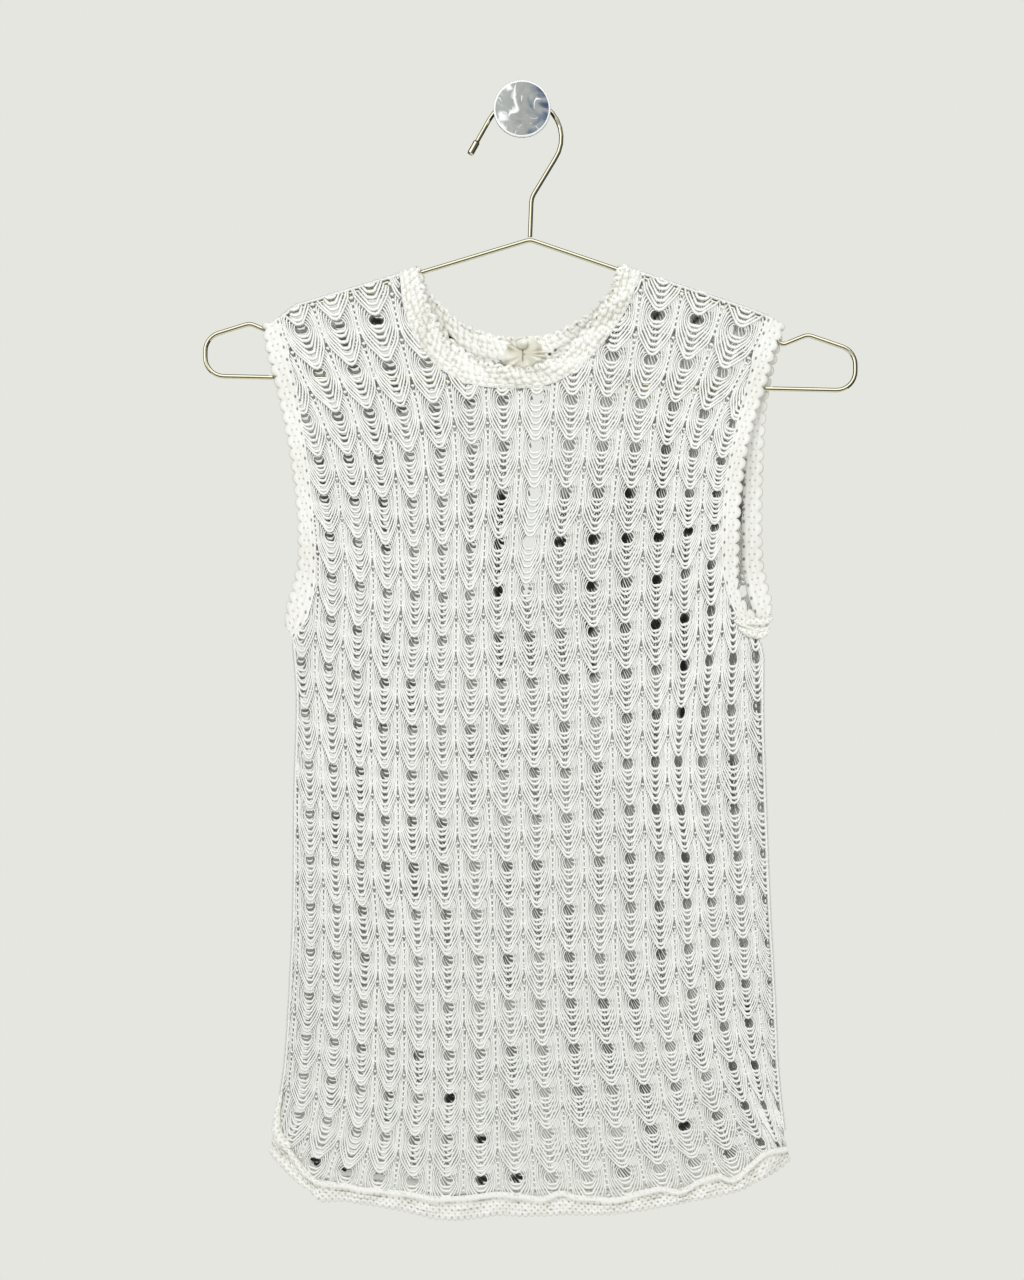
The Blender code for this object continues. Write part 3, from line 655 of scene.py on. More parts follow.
class Yarns:
    """Collects strands and makes one mesh of them, with the shade and the way along each."""

    def __init__(self):
        self.points, self.faces, self.shades, self.maps = [], [], [], []
        self.count = 0
        self.strands = 0

    def add(self, paths, outward, radius, shade, inner):
        """Strands of as many points each; outward is the cloth's normal, shades from 0 to 1."""
        count, n = paths.shape[:2]
        along = np.gradient(paths, axis=1)
        along /= np.linalg.norm(along, axis=2, keepdims=True) + 1e-12
        aside = np.cross(along, outward)
        aside /= np.linalg.norm(aside, axis=2, keepdims=True) + 1e-12
        up = np.cross(aside, along)
        ring = []
        for turn, depth in SIDES_OF_YARN:
            off = math.cos(turn) * depth * up + math.sin(turn) * aside
            ring.append(paths + radius[..., None] * off)
        self.points.append(np.stack(ring, axis=2).reshape(-1, 3))
        # The flanks are painted darker than the crest, and darker still where the inside has
        # painted shade: painted shade between the strands
        side_shade = SIDE_SHADE * (shade - np.clip(INNER_PULL * shade - inner, 0, DEEPEST_SIDE))
        tone = np.stack([shade, side_shade, inner, side_shade], axis=-1)
        self.shades.append(tone.reshape(-1))
        starts = self.count + 4 * n * np.arange(count)
        k = np.arange(n - 1)[:, None] * 4
        side = np.arange(4)[None, :]
        after = (side + 1) % 4
        quads = np.stack([k + side, k + after, k + 4 + after, k + 4 + side], axis=-1)
        last = 4 * (n - 1)
        caps = np.array([[3, 2, 1, 0], [last, last + 1, last + 2, last + 3]])
        strand = np.concatenate([quads.reshape(-1, 4), caps])
        self.faces.append((strand[None] + starts[:, None, None]).reshape(-1, 4))
        low = np.repeat(np.arange(n - 1) / (n - 1), 4)
        high = low + 1 / (n - 1)
        row = np.tile(np.arange(4), n - 1)
        corners = ((low, row), (low, row + 1), (high, row + 1), (high, row))
        uv = np.stack([np.stack(corner, axis=-1) for corner in corners], axis=1).reshape(-1, 2)
        uv = np.concatenate([uv, FIRST_CAP, np.add(FIRST_CAP, TO_LAST_CAP)])
        number = np.repeat(self.strands + np.arange(count), len(uv))
        self.maps.append(np.column_stack([np.tile(uv, (count, 1)), number]))
        self.count += 4 * n * count
        self.strands += count

    def mesh(self, name):
        points = np.concatenate(self.points)
        faces = np.concatenate(self.faces)
        mesh = bpy.data.meshes.new(name)
        mesh.vertices.add(len(points))
        mesh.vertices.foreach_set("co", points.ravel())
        mesh.loops.add(faces.size)
        mesh.loops.foreach_set("vertex_index", faces.ravel().astype(np.int32))
        mesh.polygons.add(len(faces))
        mesh.polygons.foreach_set("loop_start", np.arange(0, faces.size, 4, dtype=np.int32))
        mesh.update(calc_edges=True)
        smooth(mesh)
        give_values(mesh, "shade", np.concatenate(self.shades))
        laid = np.concatenate(self.maps)
        across = max(1, int(math.sqrt(self.strands / STRIP_SHAPE)))
        down = math.ceil(self.strands / across)
        strip = laid[:, 2]
        u = (strip % across + STRIP_END + (1 - 2 * STRIP_END) * laid[:, 0]) / across
        up = (1 - 2 * STRIP_EDGE) * laid[:, 1] / STRIP_ROWS
        v = (strip // across + STRIP_EDGE + up) / down
        lay_map(mesh, u, v)
        mesh.validate()
        return mesh


def soft_path(points, pieces):
    """A curve through a few points, as so many straight pieces between each two."""
    points = np.array(points, float)
    ends = np.vstack([2 * points[0] - points[1], points, 2 * points[-1] - points[-2]])
    made = []
    for k, count in enumerate(pieces):
        for step in range(count):
            weights = cubic_weights(step / count)
            made.append(sum(w * ends[k + i] for i, w in enumerate(weights)))
    made.append(points[-1])
    return np.array(made)


Strand = namedtuple("Strand", "path lift shade radius")


def charted_strands():
    """The repeat's strands whole, in shares of its width and height, and the bars of its ribs."""
    strands = []
    for number, half in enumerate(CHART):
        right = [(across / 100, down / 100) for across, down in half]
        whole = [(-across, down) for across, down in right] + right[-2::-1]
        fine = [2 if k == len(right) - 3 else 1 for k in range(len(right) - 1)]
        path = soft_path(whole, fine + fine[::-1])
        across, down = np.abs(path[:, 0]), path[:, 1]
        bottom = half[-1][1] / 100
        end = np.minimum(np.arange(len(path)), np.arange(len(path))[::-1])
        rung = np.clip(1 - across / RUNG_HALF_WIDTH, 0, 1) * (down > bottom - RUNG_HEIGHT)
        lift = PUFF * np.sin(2 * math.pi * np.clip(across, 0, 0.5)) * (down > 0)
        beside = np.exp(-((down + 0.02) / BESIDE_EYELET) ** 2)
        lift = lift - DIP * (number % 2) * beside - END_SINK * np.exp(-end / 1.2)
        radius = ARM_RADIUS - SLIMMER_BESIDE * beside
        radius = radius + (RUNG_RADIUS - ARM_RADIUS) * np.sqrt(rung)
        radius = radius - END_SLIMMER * np.exp(-end / 1.5)
        # Painted shade where odd strands dip beside the eyelet and at each strand's ends
        shade = 1 - ODD_STRAND_SHADE * (number % 2) * beside - END_SHADE * np.exp(-end / 0.9)
        strands.append(Strand(path, lift, shade, radius))
    for k in range(RIB_RUNGS):
        down = RIB_START + k * RIB_STEP
        path = np.array([(across, down + drop) for across, drop in RIB_BAR])
        strands.append(Strand(path, *(np.full(3, v) for v in (RIB_LIFT, RIB_SHADE, RIB_RADIUS))))
    return strands


def runs_of(inside):
    """Stretches of a path that are inside."""
    edges = np.flatnonzero(np.diff(np.concatenate([[0], inside.astype(int), [0]])))
    return [(start, stop) for start, stop in zip(edges[::2], edges[1::2]) if stop - start > 1]


# How uneven the strands are: in place, in tone and in thickness
STRAND_WANDER, TONE_VARIES, THICKNESS_VARIES = 0.07, 0.015, 0.04

# How much fuller the yarn is above a row, and how much slimmer below one, each over some rows
FULLER, FULLER_ABOVE, FULLER_OVER = 0.3, 4.5, 4
SLIMMER, SLIMMER_BELOW, SLIMMER_OVER = 0.08, 12, 6


def knit_lace(face, rows, noise):
    """The strands of some rows of repeats: fuller by the shoulders, slimmer by the hem."""
    yarns = Yarns()
    repeats = LATTICE_COLUMNS[:-1]
    columns, lines = np.meshgrid(np.array(repeats), np.array(rows), indexing="ij")
    columns, lines = columns.reshape(-1, 1), lines.reshape(-1, 1)
    for strand in charted_strands():
        c = columns + strand.path[None, :, 0]
        r = lines + strand.path[None, :, 1]
        if face.name == "back":
            c = BACK_STRETCH[0] * c + BACK_SHIFT[0]
            r = BACK_STRETCH[1] * r + BACK_SHIFT[1]
        x = read_lattice(lattice_x, c, r) + noise.normal(0, STRAND_WANDER, c.shape)
        z = read_lattice(lattice_z, c, r) + noise.normal(0, STRAND_WANDER, c.shape)
        inside = face.covers(x, z, LACE_TUCK)
        tone = strand.shade * (1 - np.abs(noise.normal(0, TONE_VARIES, columns.shape)))
        inner = tone * face.inner_shade(x, z, c, r)
        radius = strand.radius * (1 + noise.normal(0, THICKNESS_VARIES, columns.shape)) * MM
        fuller = FULLER * np.clip((FULLER_ABOVE - r) / FULLER_OVER, 0, 1)
        slimmer = SLIMMER * np.clip((r - SLIMMER_BELOW) / SLIMMER_OVER, 0, 1)
        radius = radius * (1 + fuller - slimmer) * face.fullness(x, z)
        points, normals = face.surface(x, z)
        points = points + normals * strand.lift[None, :, None] * MM
        whole = inside.all(axis=1)
        yarns.add(points[whole], normals[whole], radius[whole], tone[whole], inner[whole])
        for k in np.flatnonzero(inside.any(axis=1) & ~whole):
            for start, stop in runs_of(inside[k]):
                part = (slice(k, k + 1), slice(start, stop))
                yarns.add(points[part], normals[part], radius[part], tone[part], inner[part])
    return yarns


CORD_TURNS = (-0.42, 0.0, 0.42)
CORD_DEPTH = 1.7
CORD_TONE = 0.90

# The cords' radius and how far in from the edge the outer two lie
SHOULDER_CORDS = (1.3, 1.6)
SIDE_CORDS = (1.15, 1.2)


def seam_cords(yarns, spine, radius, reach, noise):
    """Three soft cords side by side over an edge, from the front to the back; x and z in mm."""
    spine = np.array(spine, float)
    along = np.gradient(spine, axis=0)
    along /= np.linalg.norm(along, axis=1, keepdims=True)
    inward = np.stack([-along[:, 1], along[:, 0]], axis=1)
    length = np.arange(len(spine))
    for turn in CORD_TURNS:
        angle = turn * math.pi
        wobble = 0.14 * np.sin(length * 1.7 + 4 * turn) + noise.normal(0, 0.05, len(spine))
        flat = spine + inward * (reach * (1 - math.cos(angle)) + wobble)[:, None]
        path = np.empty((1, len(spine), 3))
        path[0, :, 0], path[0, :, 2] = flat[:, 0] * MM, flat[:, 1] * MM
        path[0, :, 1] = math.sin(angle) * CORD_DEPTH * MM + HANGER_PLANE
        outward = np.empty_like(path)
        outward[0, :, 0] = -inward[:, 0] * math.cos(angle)
        outward[0, :, 2] = -inward[:, 1] * math.cos(angle)
        outward[0, :, 1] = math.sin(angle)
        thick = radius * MM * (1 + 0.10 * np.sin(length * 1.9 + turn))[None, :]
        tone = np.full((1, len(spine)), CORD_TONE)
        # The cords' inner side is painted a little darker: painted shade
        yarns.add(path, outward, thick, tone, tone * 0.95)


def shoulder_line(start, stop):
    places = np.linspace(start, stop, 70)
    return [(x, float(ridge_height(x)) + 0.3) for x in places]


def side_line(side, way):
    heights = np.linspace(UNDERARM_Z - 2, HEM[0].z + HEM_BAND_HEIGHT, 300)
    if way > 0:
        heights = heights[::-1]
    return [(float(side(z)) + way * 0.1, z) for z in heights]


def seam_yarns(noise):
    """The cords that join front and back: along the shoulders and down the sides."""
    yarns = Yarns()
    neck = front.neck[0][0][0], front.neck[-1][0][0]
    arms = front.left_armhole[0][0][0], front.right_armhole[0][0][0]
    for spine, sizes in (
        (shoulder_line(neck[0], arms[0]), SHOULDER_CORDS),
        (shoulder_line(arms[1], neck[1]), SHOULDER_CORDS),
        (side_line(left_side, -1), SIDE_CORDS),
        (side_line(right_side, 1), SIDE_CORDS),
    ):
        seam_cords(yarns, spine, *sizes, noise)
    return yarns


# ==== Bands: close knitting as one closed wall with a bumpy face ====


BAND_STEP = 0.75
BAND_TUCK = 1.0
NECK_ROW, NECK_STITCH, NECK_SCALLOP = 3.7, 4.6, 7.5
ARM_SCALLOP = 8.15
HEM_ROW, HEM_STITCH = 2.5, 4.15
NECK_LOBES, ARM_LOBES, HEM_LOBES = (NECK_SCALLOP, 2.8), (ARM_SCALLOP, 3.2), (HEM_STITCH, 2.4)

# The hem's long and short waves, and how the neckband is drawn together at the back opening, with
# shade painted in the gathers and painted shadow along the back neckband's dark gaps
HEM_WAVES, LONG_WAVE, SHORT_WAVE = 0.2, 46, 21
GATHER_REACH, GATHER_PULL, GATHER_SHADE = 17, 2.2, 0.12
NECK_GAP_SHADOW = 0.9

# A band's faces: how far their lowest places lie under the wall's, how much of the relief the
# inside has, and how its free edge and its seam are rounded
FACE_SINK = 0.55
INSIDE_RELIEF = 0.6
ROUNDED_SHARE = 0.12
ROUNDED_SEAM = 1.2
LOBES_FROM = 0.72

# A wall's map: where its faces start and how high they are, one above the other, then its rim
FACE_START, FACE_HEIGHT, NEXT_FACE = 0.01, 0.46, 0.48
RIM_ON_MAP, RIM_HEIGHT = 0.97, 0.02

Spot = namedtuple("Spot", "x z")
Gap = namedtuple("Gap", "x z length width slant")
NECK_OPENING = Spot(0, -151)
# Painted shadows on the back neckband: thin dark gaps, each with its place, length, width and slant
NECK_GAPS = table(
    Gap,
    (-49, -147.2, 6.5, 1.3, -0.62), (22, -156.8, 1.3, 0.8, 0.8), (18.4, -159.2, 1.2, 0.7, 0.5),
    (14.6, -161.4, 1.2, 0.8, 0.2), (-16, -165.8, 1.8, 0.6, -0.7),
)


def smoothstep(low, high, value):
    t = np.clip((value - low) / (high - low), 0, 1)
    return t * t * (3 - 2 * t)


def spread(value, pitch, shift=0.0):
    """How far from the nearest of a row of places, in pitches: -0.5 to 0.5."""
    phase = value / pitch + shift
    return phase - np.round(phase)


def swell(value, pitch, shift=0.0):
    """1 at each of a row of places, and 0 halfway between them."""
    return np.clip(1 - (2 * np.abs(spread(value, pitch, shift))) ** 2, 0, 1)


def neck_stitch(s, d, width):
    """Garter stitch: ropes of long slanted bumps, no two alike."""
    row = np.round(d / NECK_ROW)
    sway = d + 0.6 * np.sin(s * 0.23 + 2.1 * row) + 0.35 * np.sin(s * 0.9 + row)
    across = spread(sway, NECK_ROW)
    drift = 1.3 * np.sin(s * 0.13 + 1.7 * row) + 0.9 * np.sin(s * 0.37 + 2.9 * row)
    place = s + 0.5 * (d - NECK_ROW * row) + drift + 2.3 * row
    along = spread(place, NECK_STITCH)
    stitch = np.round(place / NECK_STITCH)
    size = 0.80 + 0.22 * np.sin(12.9 * stitch + 78.2 * row)
    dome = np.clip(1 - (2 * np.abs(across)) ** 2, 0, 1) * (1 - (2 * np.abs(along)) ** 2.4)
    dome = np.clip(dome, 0, 1) * size
    shallow = 0.06 * np.sin(s * 0.085 + 1) + 0.05 * np.sin(s * 0.21 + d * 0.4)
    # Painted shade: the bumps painted lighter and the gaps between them darker, with a slow uneven
    # change of tone
    tone = 0.58 + shallow + 0.37 * smoothstep(-0.1, 0.45, dome)
    return 1.5 * np.sqrt(dome), tone


def arm_stitch(s, d, width):
    """Close, plump knitting: one soft swell to each scallop."""
    part = d / width
    lobe = np.sqrt(swell(s, ARM_SCALLOP))
    outer = smoothstep(0.62, 0.9, part)
    rows = 0.25 * np.cos(2 * math.pi * (part - 0.2) / 0.27)
    height = 0.5 + rows * (1 - outer) + 0.7 * lobe * outer
    soft = 0.04 * np.sin(s * 0.11) + 0.03 * np.sin(s * 0.31 + d)
    # Painted shade along the rim of the free edge
    edge = 0.26 * smoothstep(0.93, 1, part)
    # Raised rows painted lighter and the notches between the scallops darker: painted shade, with a
    # slow uneven change of tone
    tone = 0.91 + 0.2 * rows - 0.26 * (1 - lobe) * outer - edge + soft
    return height, tone


def hem_stitch(s, d, width):
    """A firm ridge along the seam, then rows of small bumps that follow the free edge."""
    part = d / width
    ridge = np.exp(-(((d - 1.4) / 1.25) ** 2))
    up = width - d
    row = np.round(up / HEM_ROW)
    across = swell(up, HEM_ROW)
    along = swell(s, HEM_STITCH, 0.5 * (row % 2))
    bumps = np.sqrt(across) * (0.25 + 0.75 * along)
    below = smoothstep(0.16, 0.3, part)
    ripple = 0.8 * np.sin(2 * math.pi * s / 23 + 0.3 * d) * smoothstep(0.1, 0.5, part)
    # Where the painted shadow under the ridge lies
    under = np.exp(-(((d - 3.7) / 0.9) ** 2))
    height = 2.1 * ridge + below * 1.2 * bumps + ripple
    # Painted shade: bumps and ripples lighter, the shadow under the ridge and the rim of the free
    # edge darker, the ridge itself kept light
    tone = 0.56 + 0.38 * smoothstep(0.0, 0.5, bumps) + 0.07 * ripple - 0.24 * under
    return height, np.maximum(0.96 * ridge, tone - 0.30 * smoothstep(0.93, 1, part))


def round_lobes(s, pitch, reach):
    """How far a band's scallops stand out past its free edge."""
    return reach * (np.sqrt(swell(s, pitch)) - 0.7)


def knit_band(name, band):
    """One closed wall along a band's sections; returns its mesh."""
    seams = np.array([seam for seam, free in band.sections])
    frees = np.array([free for seam, free in band.sections])
    middle = (seams + frees) / 2
    reach = np.concatenate([[0], np.cumsum(np.linalg.norm(np.diff(middle, axis=0), axis=1))])
    count = int(reach[-1] / BAND_STEP)
    s = np.linspace(0, reach[-1], count + 1)
    seam_x, seam_z, free_x, free_z = (Curve(reach, values)(s) for values in (*seams.T, *frees.T))
    width = np.hypot(free_x - seam_x, free_z - seam_z)[:, None]
    rows = int(np.mean(width) / BAND_STEP)
    across = (width + BAND_TUCK) * np.linspace(0, 1, rows + 1)[None, :] - BAND_TUCK
    part = across / width
    out_x = (free_x - seam_x)[:, None] / width
    out_z = (free_z - seam_z)[:, None] / width
    along = s[:, None] + 0 * across
    reached = across + round_lobes(along, *band.lobes) * smoothstep(LOBES_FROM, 1, part)
    wave = np.sin(2 * math.pi * along / LONG_WAVE + 2.4)
    wave = wave + 0.6 * np.sin(2 * math.pi * along / SHORT_WAVE)
    reached += band.waves * (wave - 1.2)
    x = seam_x[:, None] + out_x * reached
    z = seam_z[:, None] + out_z * reached
    height, tone = band.stitch(along, across, width)
    if band.gathered:
        near = np.clip(1 - np.abs(x - NECK_OPENING.x) / GATHER_REACH, 0, 1)
        x = x + band.gathered * near**3 * GATHER_PULL
        # Painted shade in the gathers
        tone = tone - GATHER_SHADE * smoothstep(0.2, 1, near)
    # Painted shadow along the back neckband's dark gaps
    if band.face.name == "back":
        for gap in NECK_GAPS:
            run_x, run_z = math.cos(gap.slant), math.sin(gap.slant)
            off_x, off_z = x - gap.x, z - gap.z
            far = ((off_x * run_x + off_z * run_z) / gap.length) ** 2
            far += ((off_z * run_x - off_x * run_z) / gap.width) ** 2
            tone = tone - NECK_GAP_SHADOW * np.exp(-far * far)
    edge = np.sqrt(np.clip(1 - part, 0, 1) / ROUNDED_SHARE).clip(0, 1)
    edge = edge * np.clip((across + BAND_TUCK) / ROUNDED_SEAM, 0, 1)
    lowest = BAND_WALL / 2 - FACE_SINK
    outer = band.face.place(x, z, (lowest + height) * edge, BAND_WALL)
    inner = band.face.place(x, z, -(lowest + INSIDE_RELIEF * height) * edge, BAND_WALL)
    return wall_mesh(name, outer, inner, tone, along, part)


def closed_mesh(name, points, faces, values):
    """A smooth mesh with all of its faces outwards, and named values at its points."""
    mesh = bpy.data.meshes.new(name)
    mesh.from_pydata(np.array(points).tolist(), [], faces)
    work = bmesh.new()
    work.from_mesh(mesh)
    bmesh.ops.recalc_face_normals(work, faces=work.faces)
    work.to_mesh(mesh)
    work.free()
    smooth(mesh)
    for value_name, numbers in values.items():
        give_values(mesh, value_name, numbers)
    return mesh


def wall_mesh(name, outer, inner, tone, along, part):
    """A closed wall between two grids of points, with its shade."""
    rows, columns = outer.shape[:2]
    points = np.concatenate([outer.reshape(-1, 3), inner.reshape(-1, 3)])
    index = np.arange(rows * columns).reshape(rows, columns)
    a, b, c, d = index[:-1, :-1], index[:-1, 1:], index[1:, 1:], index[1:, :-1]
    front_faces = np.stack([a, b, c, d], axis=-1).reshape(-1, 4)
    back_faces = front_faces[:, ::-1] + rows * columns
    ring = np.concatenate([index[0], index[1:, -1], index[-1, -2::-1], index[-2:0:-1, 0]])
    after = np.roll(ring, -1)
    rim = np.stack([after, ring, ring + rows * columns, after + rows * columns], axis=-1)
    faces = np.concatenate([front_faces, back_faces, rim])
    values = {"shade": tone, "along": along, "part": part}
    values = {key: np.tile(grid.reshape(-1), 2) for key, grid in values.items()}
    mesh = closed_mesh(name, points, faces.tolist(), values)
    corners = np.empty(len(mesh.loops), np.int32)
    mesh.loops.foreach_get("vertex_index", corners)
    corners = corners.reshape(-1, 4)
    place, below = corners % (rows * columns), corners // (rows * columns)
    u = (place // columns) / (rows - 1)
    v = (place % columns) / (columns - 1) * FACE_HEIGHT + FACE_START + NEXT_FACE * below
    at_rim = slice(2 * len(front_faces), None)
    number = np.arange(len(ring))[:, None]
    u[at_rim] = (number + (place[at_rim] == after[:, None])) / len(ring)
    v[at_rim] = RIM_ON_MAP + RIM_HEIGHT * below[at_rim]
    lay_map(mesh, u, v)
    return mesh


def lace_cut(face, rows):
    """The flat cut of some rows of lace: its greatest width and length, and its area; in metres."""
    columns = np.arange(LATTICE_COLUMNS[0], LATTICE_COLUMNS[-1], 0.1)
    lines = np.arange(rows[0] - 0.5, rows[-1] + 0.5, 0.1)
    c, r = np.meshgrid(columns, lines, indexing="ij")
    x, z = read_lattice(lattice_x, c, r), read_lattice(lattice_z, c, r)
    points = face.surface(x, z)[0]
    across, down = np.gradient(points, axis=0), np.gradient(points, axis=1)
    inside = face.covers(x, z, 0)
    area = (np.linalg.norm(np.cross(across, down), axis=2) * inside).sum()
    width = (np.linalg.norm(across, axis=2) * inside).sum(axis=0).max()
    length = (np.linalg.norm(down, axis=2) * inside).sum(axis=1).max()
    return (width, length), area


def band_cut(sections):
    """A band's flat cut: its length along its middle and its mean width; metres."""
    middle = np.array([between(seam, free, 0.5) for seam, free in sections])
    length = np.linalg.norm(np.diff(middle, axis=0), axis=1).sum()
    width = np.mean([math.dist(seam, free) for seam, free in sections])
    return (length * MM, width * MM)


def hem_sections(face):
    """The hem band's sections, from the left side seam to the right one."""
    sections = []
    left, right = (float(side(SIDES[-1].z)) for side in (left_side, right_side))
    for share in np.linspace(0, 1, 81):
        seam_x = left + share * (right - left)
        free_x = HEM[0].x + share * (HEM[-1].x - HEM[0].x)
        seam_z = float(face.hem_seam_height(seam_x))
        sections.append(((seam_x, seam_z), (free_x, float(hem_edge(free_x)))))
    return sections


# ==== Small pieces ====

FRILL = Spot(1.6, -159.6)
FRILL_HALF_WIDTH = 14.0
FRILL_HALF_HEIGHT = 12.0
FRILL_PETALS = 9
FRILL_RINGS = 22
FRILL_SIDES = 140
FRILL_EDGE = 0.72
DOME = Spot(0.2, -152.4)
DOME_HALF_WIDTH = 3.9
DOME_HALF_HEIGHT = 4.1
# Two painted shadows beside the top of the dome: their places, half width and height, and how dark
# they are
DOME_SHADOWS = (Spot(-4.0, -149.0), Spot(3.2, -148.4))
DOME_SHADOW_HALF_WIDTH, DOME_SHADOW_HALF_HEIGHT, DOME_SHADOW_TONE = 0.9, 0.8, 0.5
NOTCH_X, NOTCH_HALF_WIDTH, NOTCH_FOOT, NOTCH_SHARP = 0.5, 0.42, -165.5, -163
BUTTON_CENTRE = Spot(0, -153.5)
BUTTON_RADIUS = 4.5
BUTTON_THICKNESS = 2.8
BUTTON_OUT = 7.0
BUTTON_SIDES = 40
BUTTON_ROUNDING = 1.1
BUTTON_ROUNDING_STEPS = 4

Roll = namedtuple("Roll", "x z radius")
UNDERARM_ROLLS = (
    table(
        Roll,
        (140.6, -336.6, 0.9), (146, -336.9, 1.7), (151.5, -335.9, 2.6),
        (157.5, -336.2, 2.8), (162.2, -335.2, 1.9), (164.8, -333.2, 1.2),
    ),
    table(
        Roll,
        (141.6, -340.4, 1.0), (146, -343.2, 2.2), (151.5, -345.0, 2.7),
        (156.6, -345.2, 2.6), (160.8, -343.4, 1.8), (162.6, -341, 0.9),
    ),
    table(
        Roll,
        (138.8, -335.8, 0.8), (143, -338.2, 1.3), (148, -340.2, 1.5),
        (154, -341.6, 1.6), (159, -341.4, 1.4), (163, -339.4, 1.0),
    ),
)
CORNER_ROLLS = (
    table(
        Roll,
        (-157.6, -646, 0.8), (-159.2, -653, 1.9), (-160.6, -662, 2.6),
        (-160.6, -670, 3.6), (-157.6, -677, 4.0), (-151, -681, 1.8),
    ),
    table(
        Roll,
        (-163.6, -679, 1.0), (-159, -680.4, 2.0), (-153.4, -682.8, 2.0),
        (-147.6, -690.6, 1.9), (-141, -698.8, 1.7), (-133, -703.0, 1.4),
        (-124, -704.4, 0.8),
    ),
    table(
        Roll,
        (-165.4, -681.6, 1.2), (-163, -685.4, 2.6), (-157.6, -690.4, 2.9),
        (-151.2, -696.8, 2.5), (-143.6, -703.8, 1.9), (-135, -709.6, 0.9),
    ),
)
ROLL_SIDES = 16
ROLL_STEPS = 80
ROLL_LIFT, ROLL_LIFT_SHARE, ROLL_KNIT = 0.9, 0.25, 0.07


def roll_mesh(name, face, rolls):
    """Soft rolls of bunched knitting that lie on the cloth."""
    points, faces, tones, ways, parts = [], [], [], [], []
    for roll in rolls:
        knots = np.arange(len(roll))
        at = np.linspace(0, len(roll) - 1, ROLL_STEPS)
        x, z, radius = (Curve(knots, [getattr(r, k) for r in roll])(at) for k in Roll._fields)
        base, normal = face.surface(x, z, BAND_WALL)
        base = base + normal * (ROLL_LIFT + ROLL_LIFT_SHARE * radius[:, None]) * MM
        along = np.gradient(base, axis=0)
        length = np.linalg.norm(along, axis=1, keepdims=True)
        reach = np.cumsum(length) / MM
        aside = np.cross(along / length, normal)
        start = len(points)
        for k in range(ROLL_STEPS):
            for side in range(ROLL_SIDES):
                turn = 2 * math.pi * side / ROLL_SIDES
                twist = 0.6 * k + 2.2 * math.sin(turn + 0.09 * k)
                knit = 1 + ROLL_KNIT * math.cos(twist) * math.cos(0.17 * k + turn)
                off = math.cos(turn) * 0.8 * normal[k] + math.sin(turn) * aside[k]
                points.append(base[k] + off * radius[k] * knit * MM)
                # Painted shade: lighter on the side facing out, darker round the sides and in the
                # knit's hollows
                tones.append(0.80 + 0.15 * math.cos(turn) + 0.9 * (knit - 1))
                ways.append(reach[k])
                parts.append((0.5 + side / ROLL_SIDES) % 1)
        for k in range(ROLL_STEPS - 1):
            for side in range(ROLL_SIDES):
                a = start + k * ROLL_SIDES + side
                b = start + k * ROLL_SIDES + (side + 1) % ROLL_SIDES
                faces.append((a, b, b + ROLL_SIDES, a + ROLL_SIDES))
        last = start + (ROLL_STEPS - 1) * ROLL_SIDES
        faces.append(tuple(range(start + ROLL_SIDES - 1, start - 1, -1)))
        faces.append(tuple(range(last, last + ROLL_SIDES)))
    return closed_mesh(name, points, faces, {"shade": tones, "along": ways, "part": parts})


def bell(distance, half_width):
    return np.exp(-((distance / half_width) ** 2))


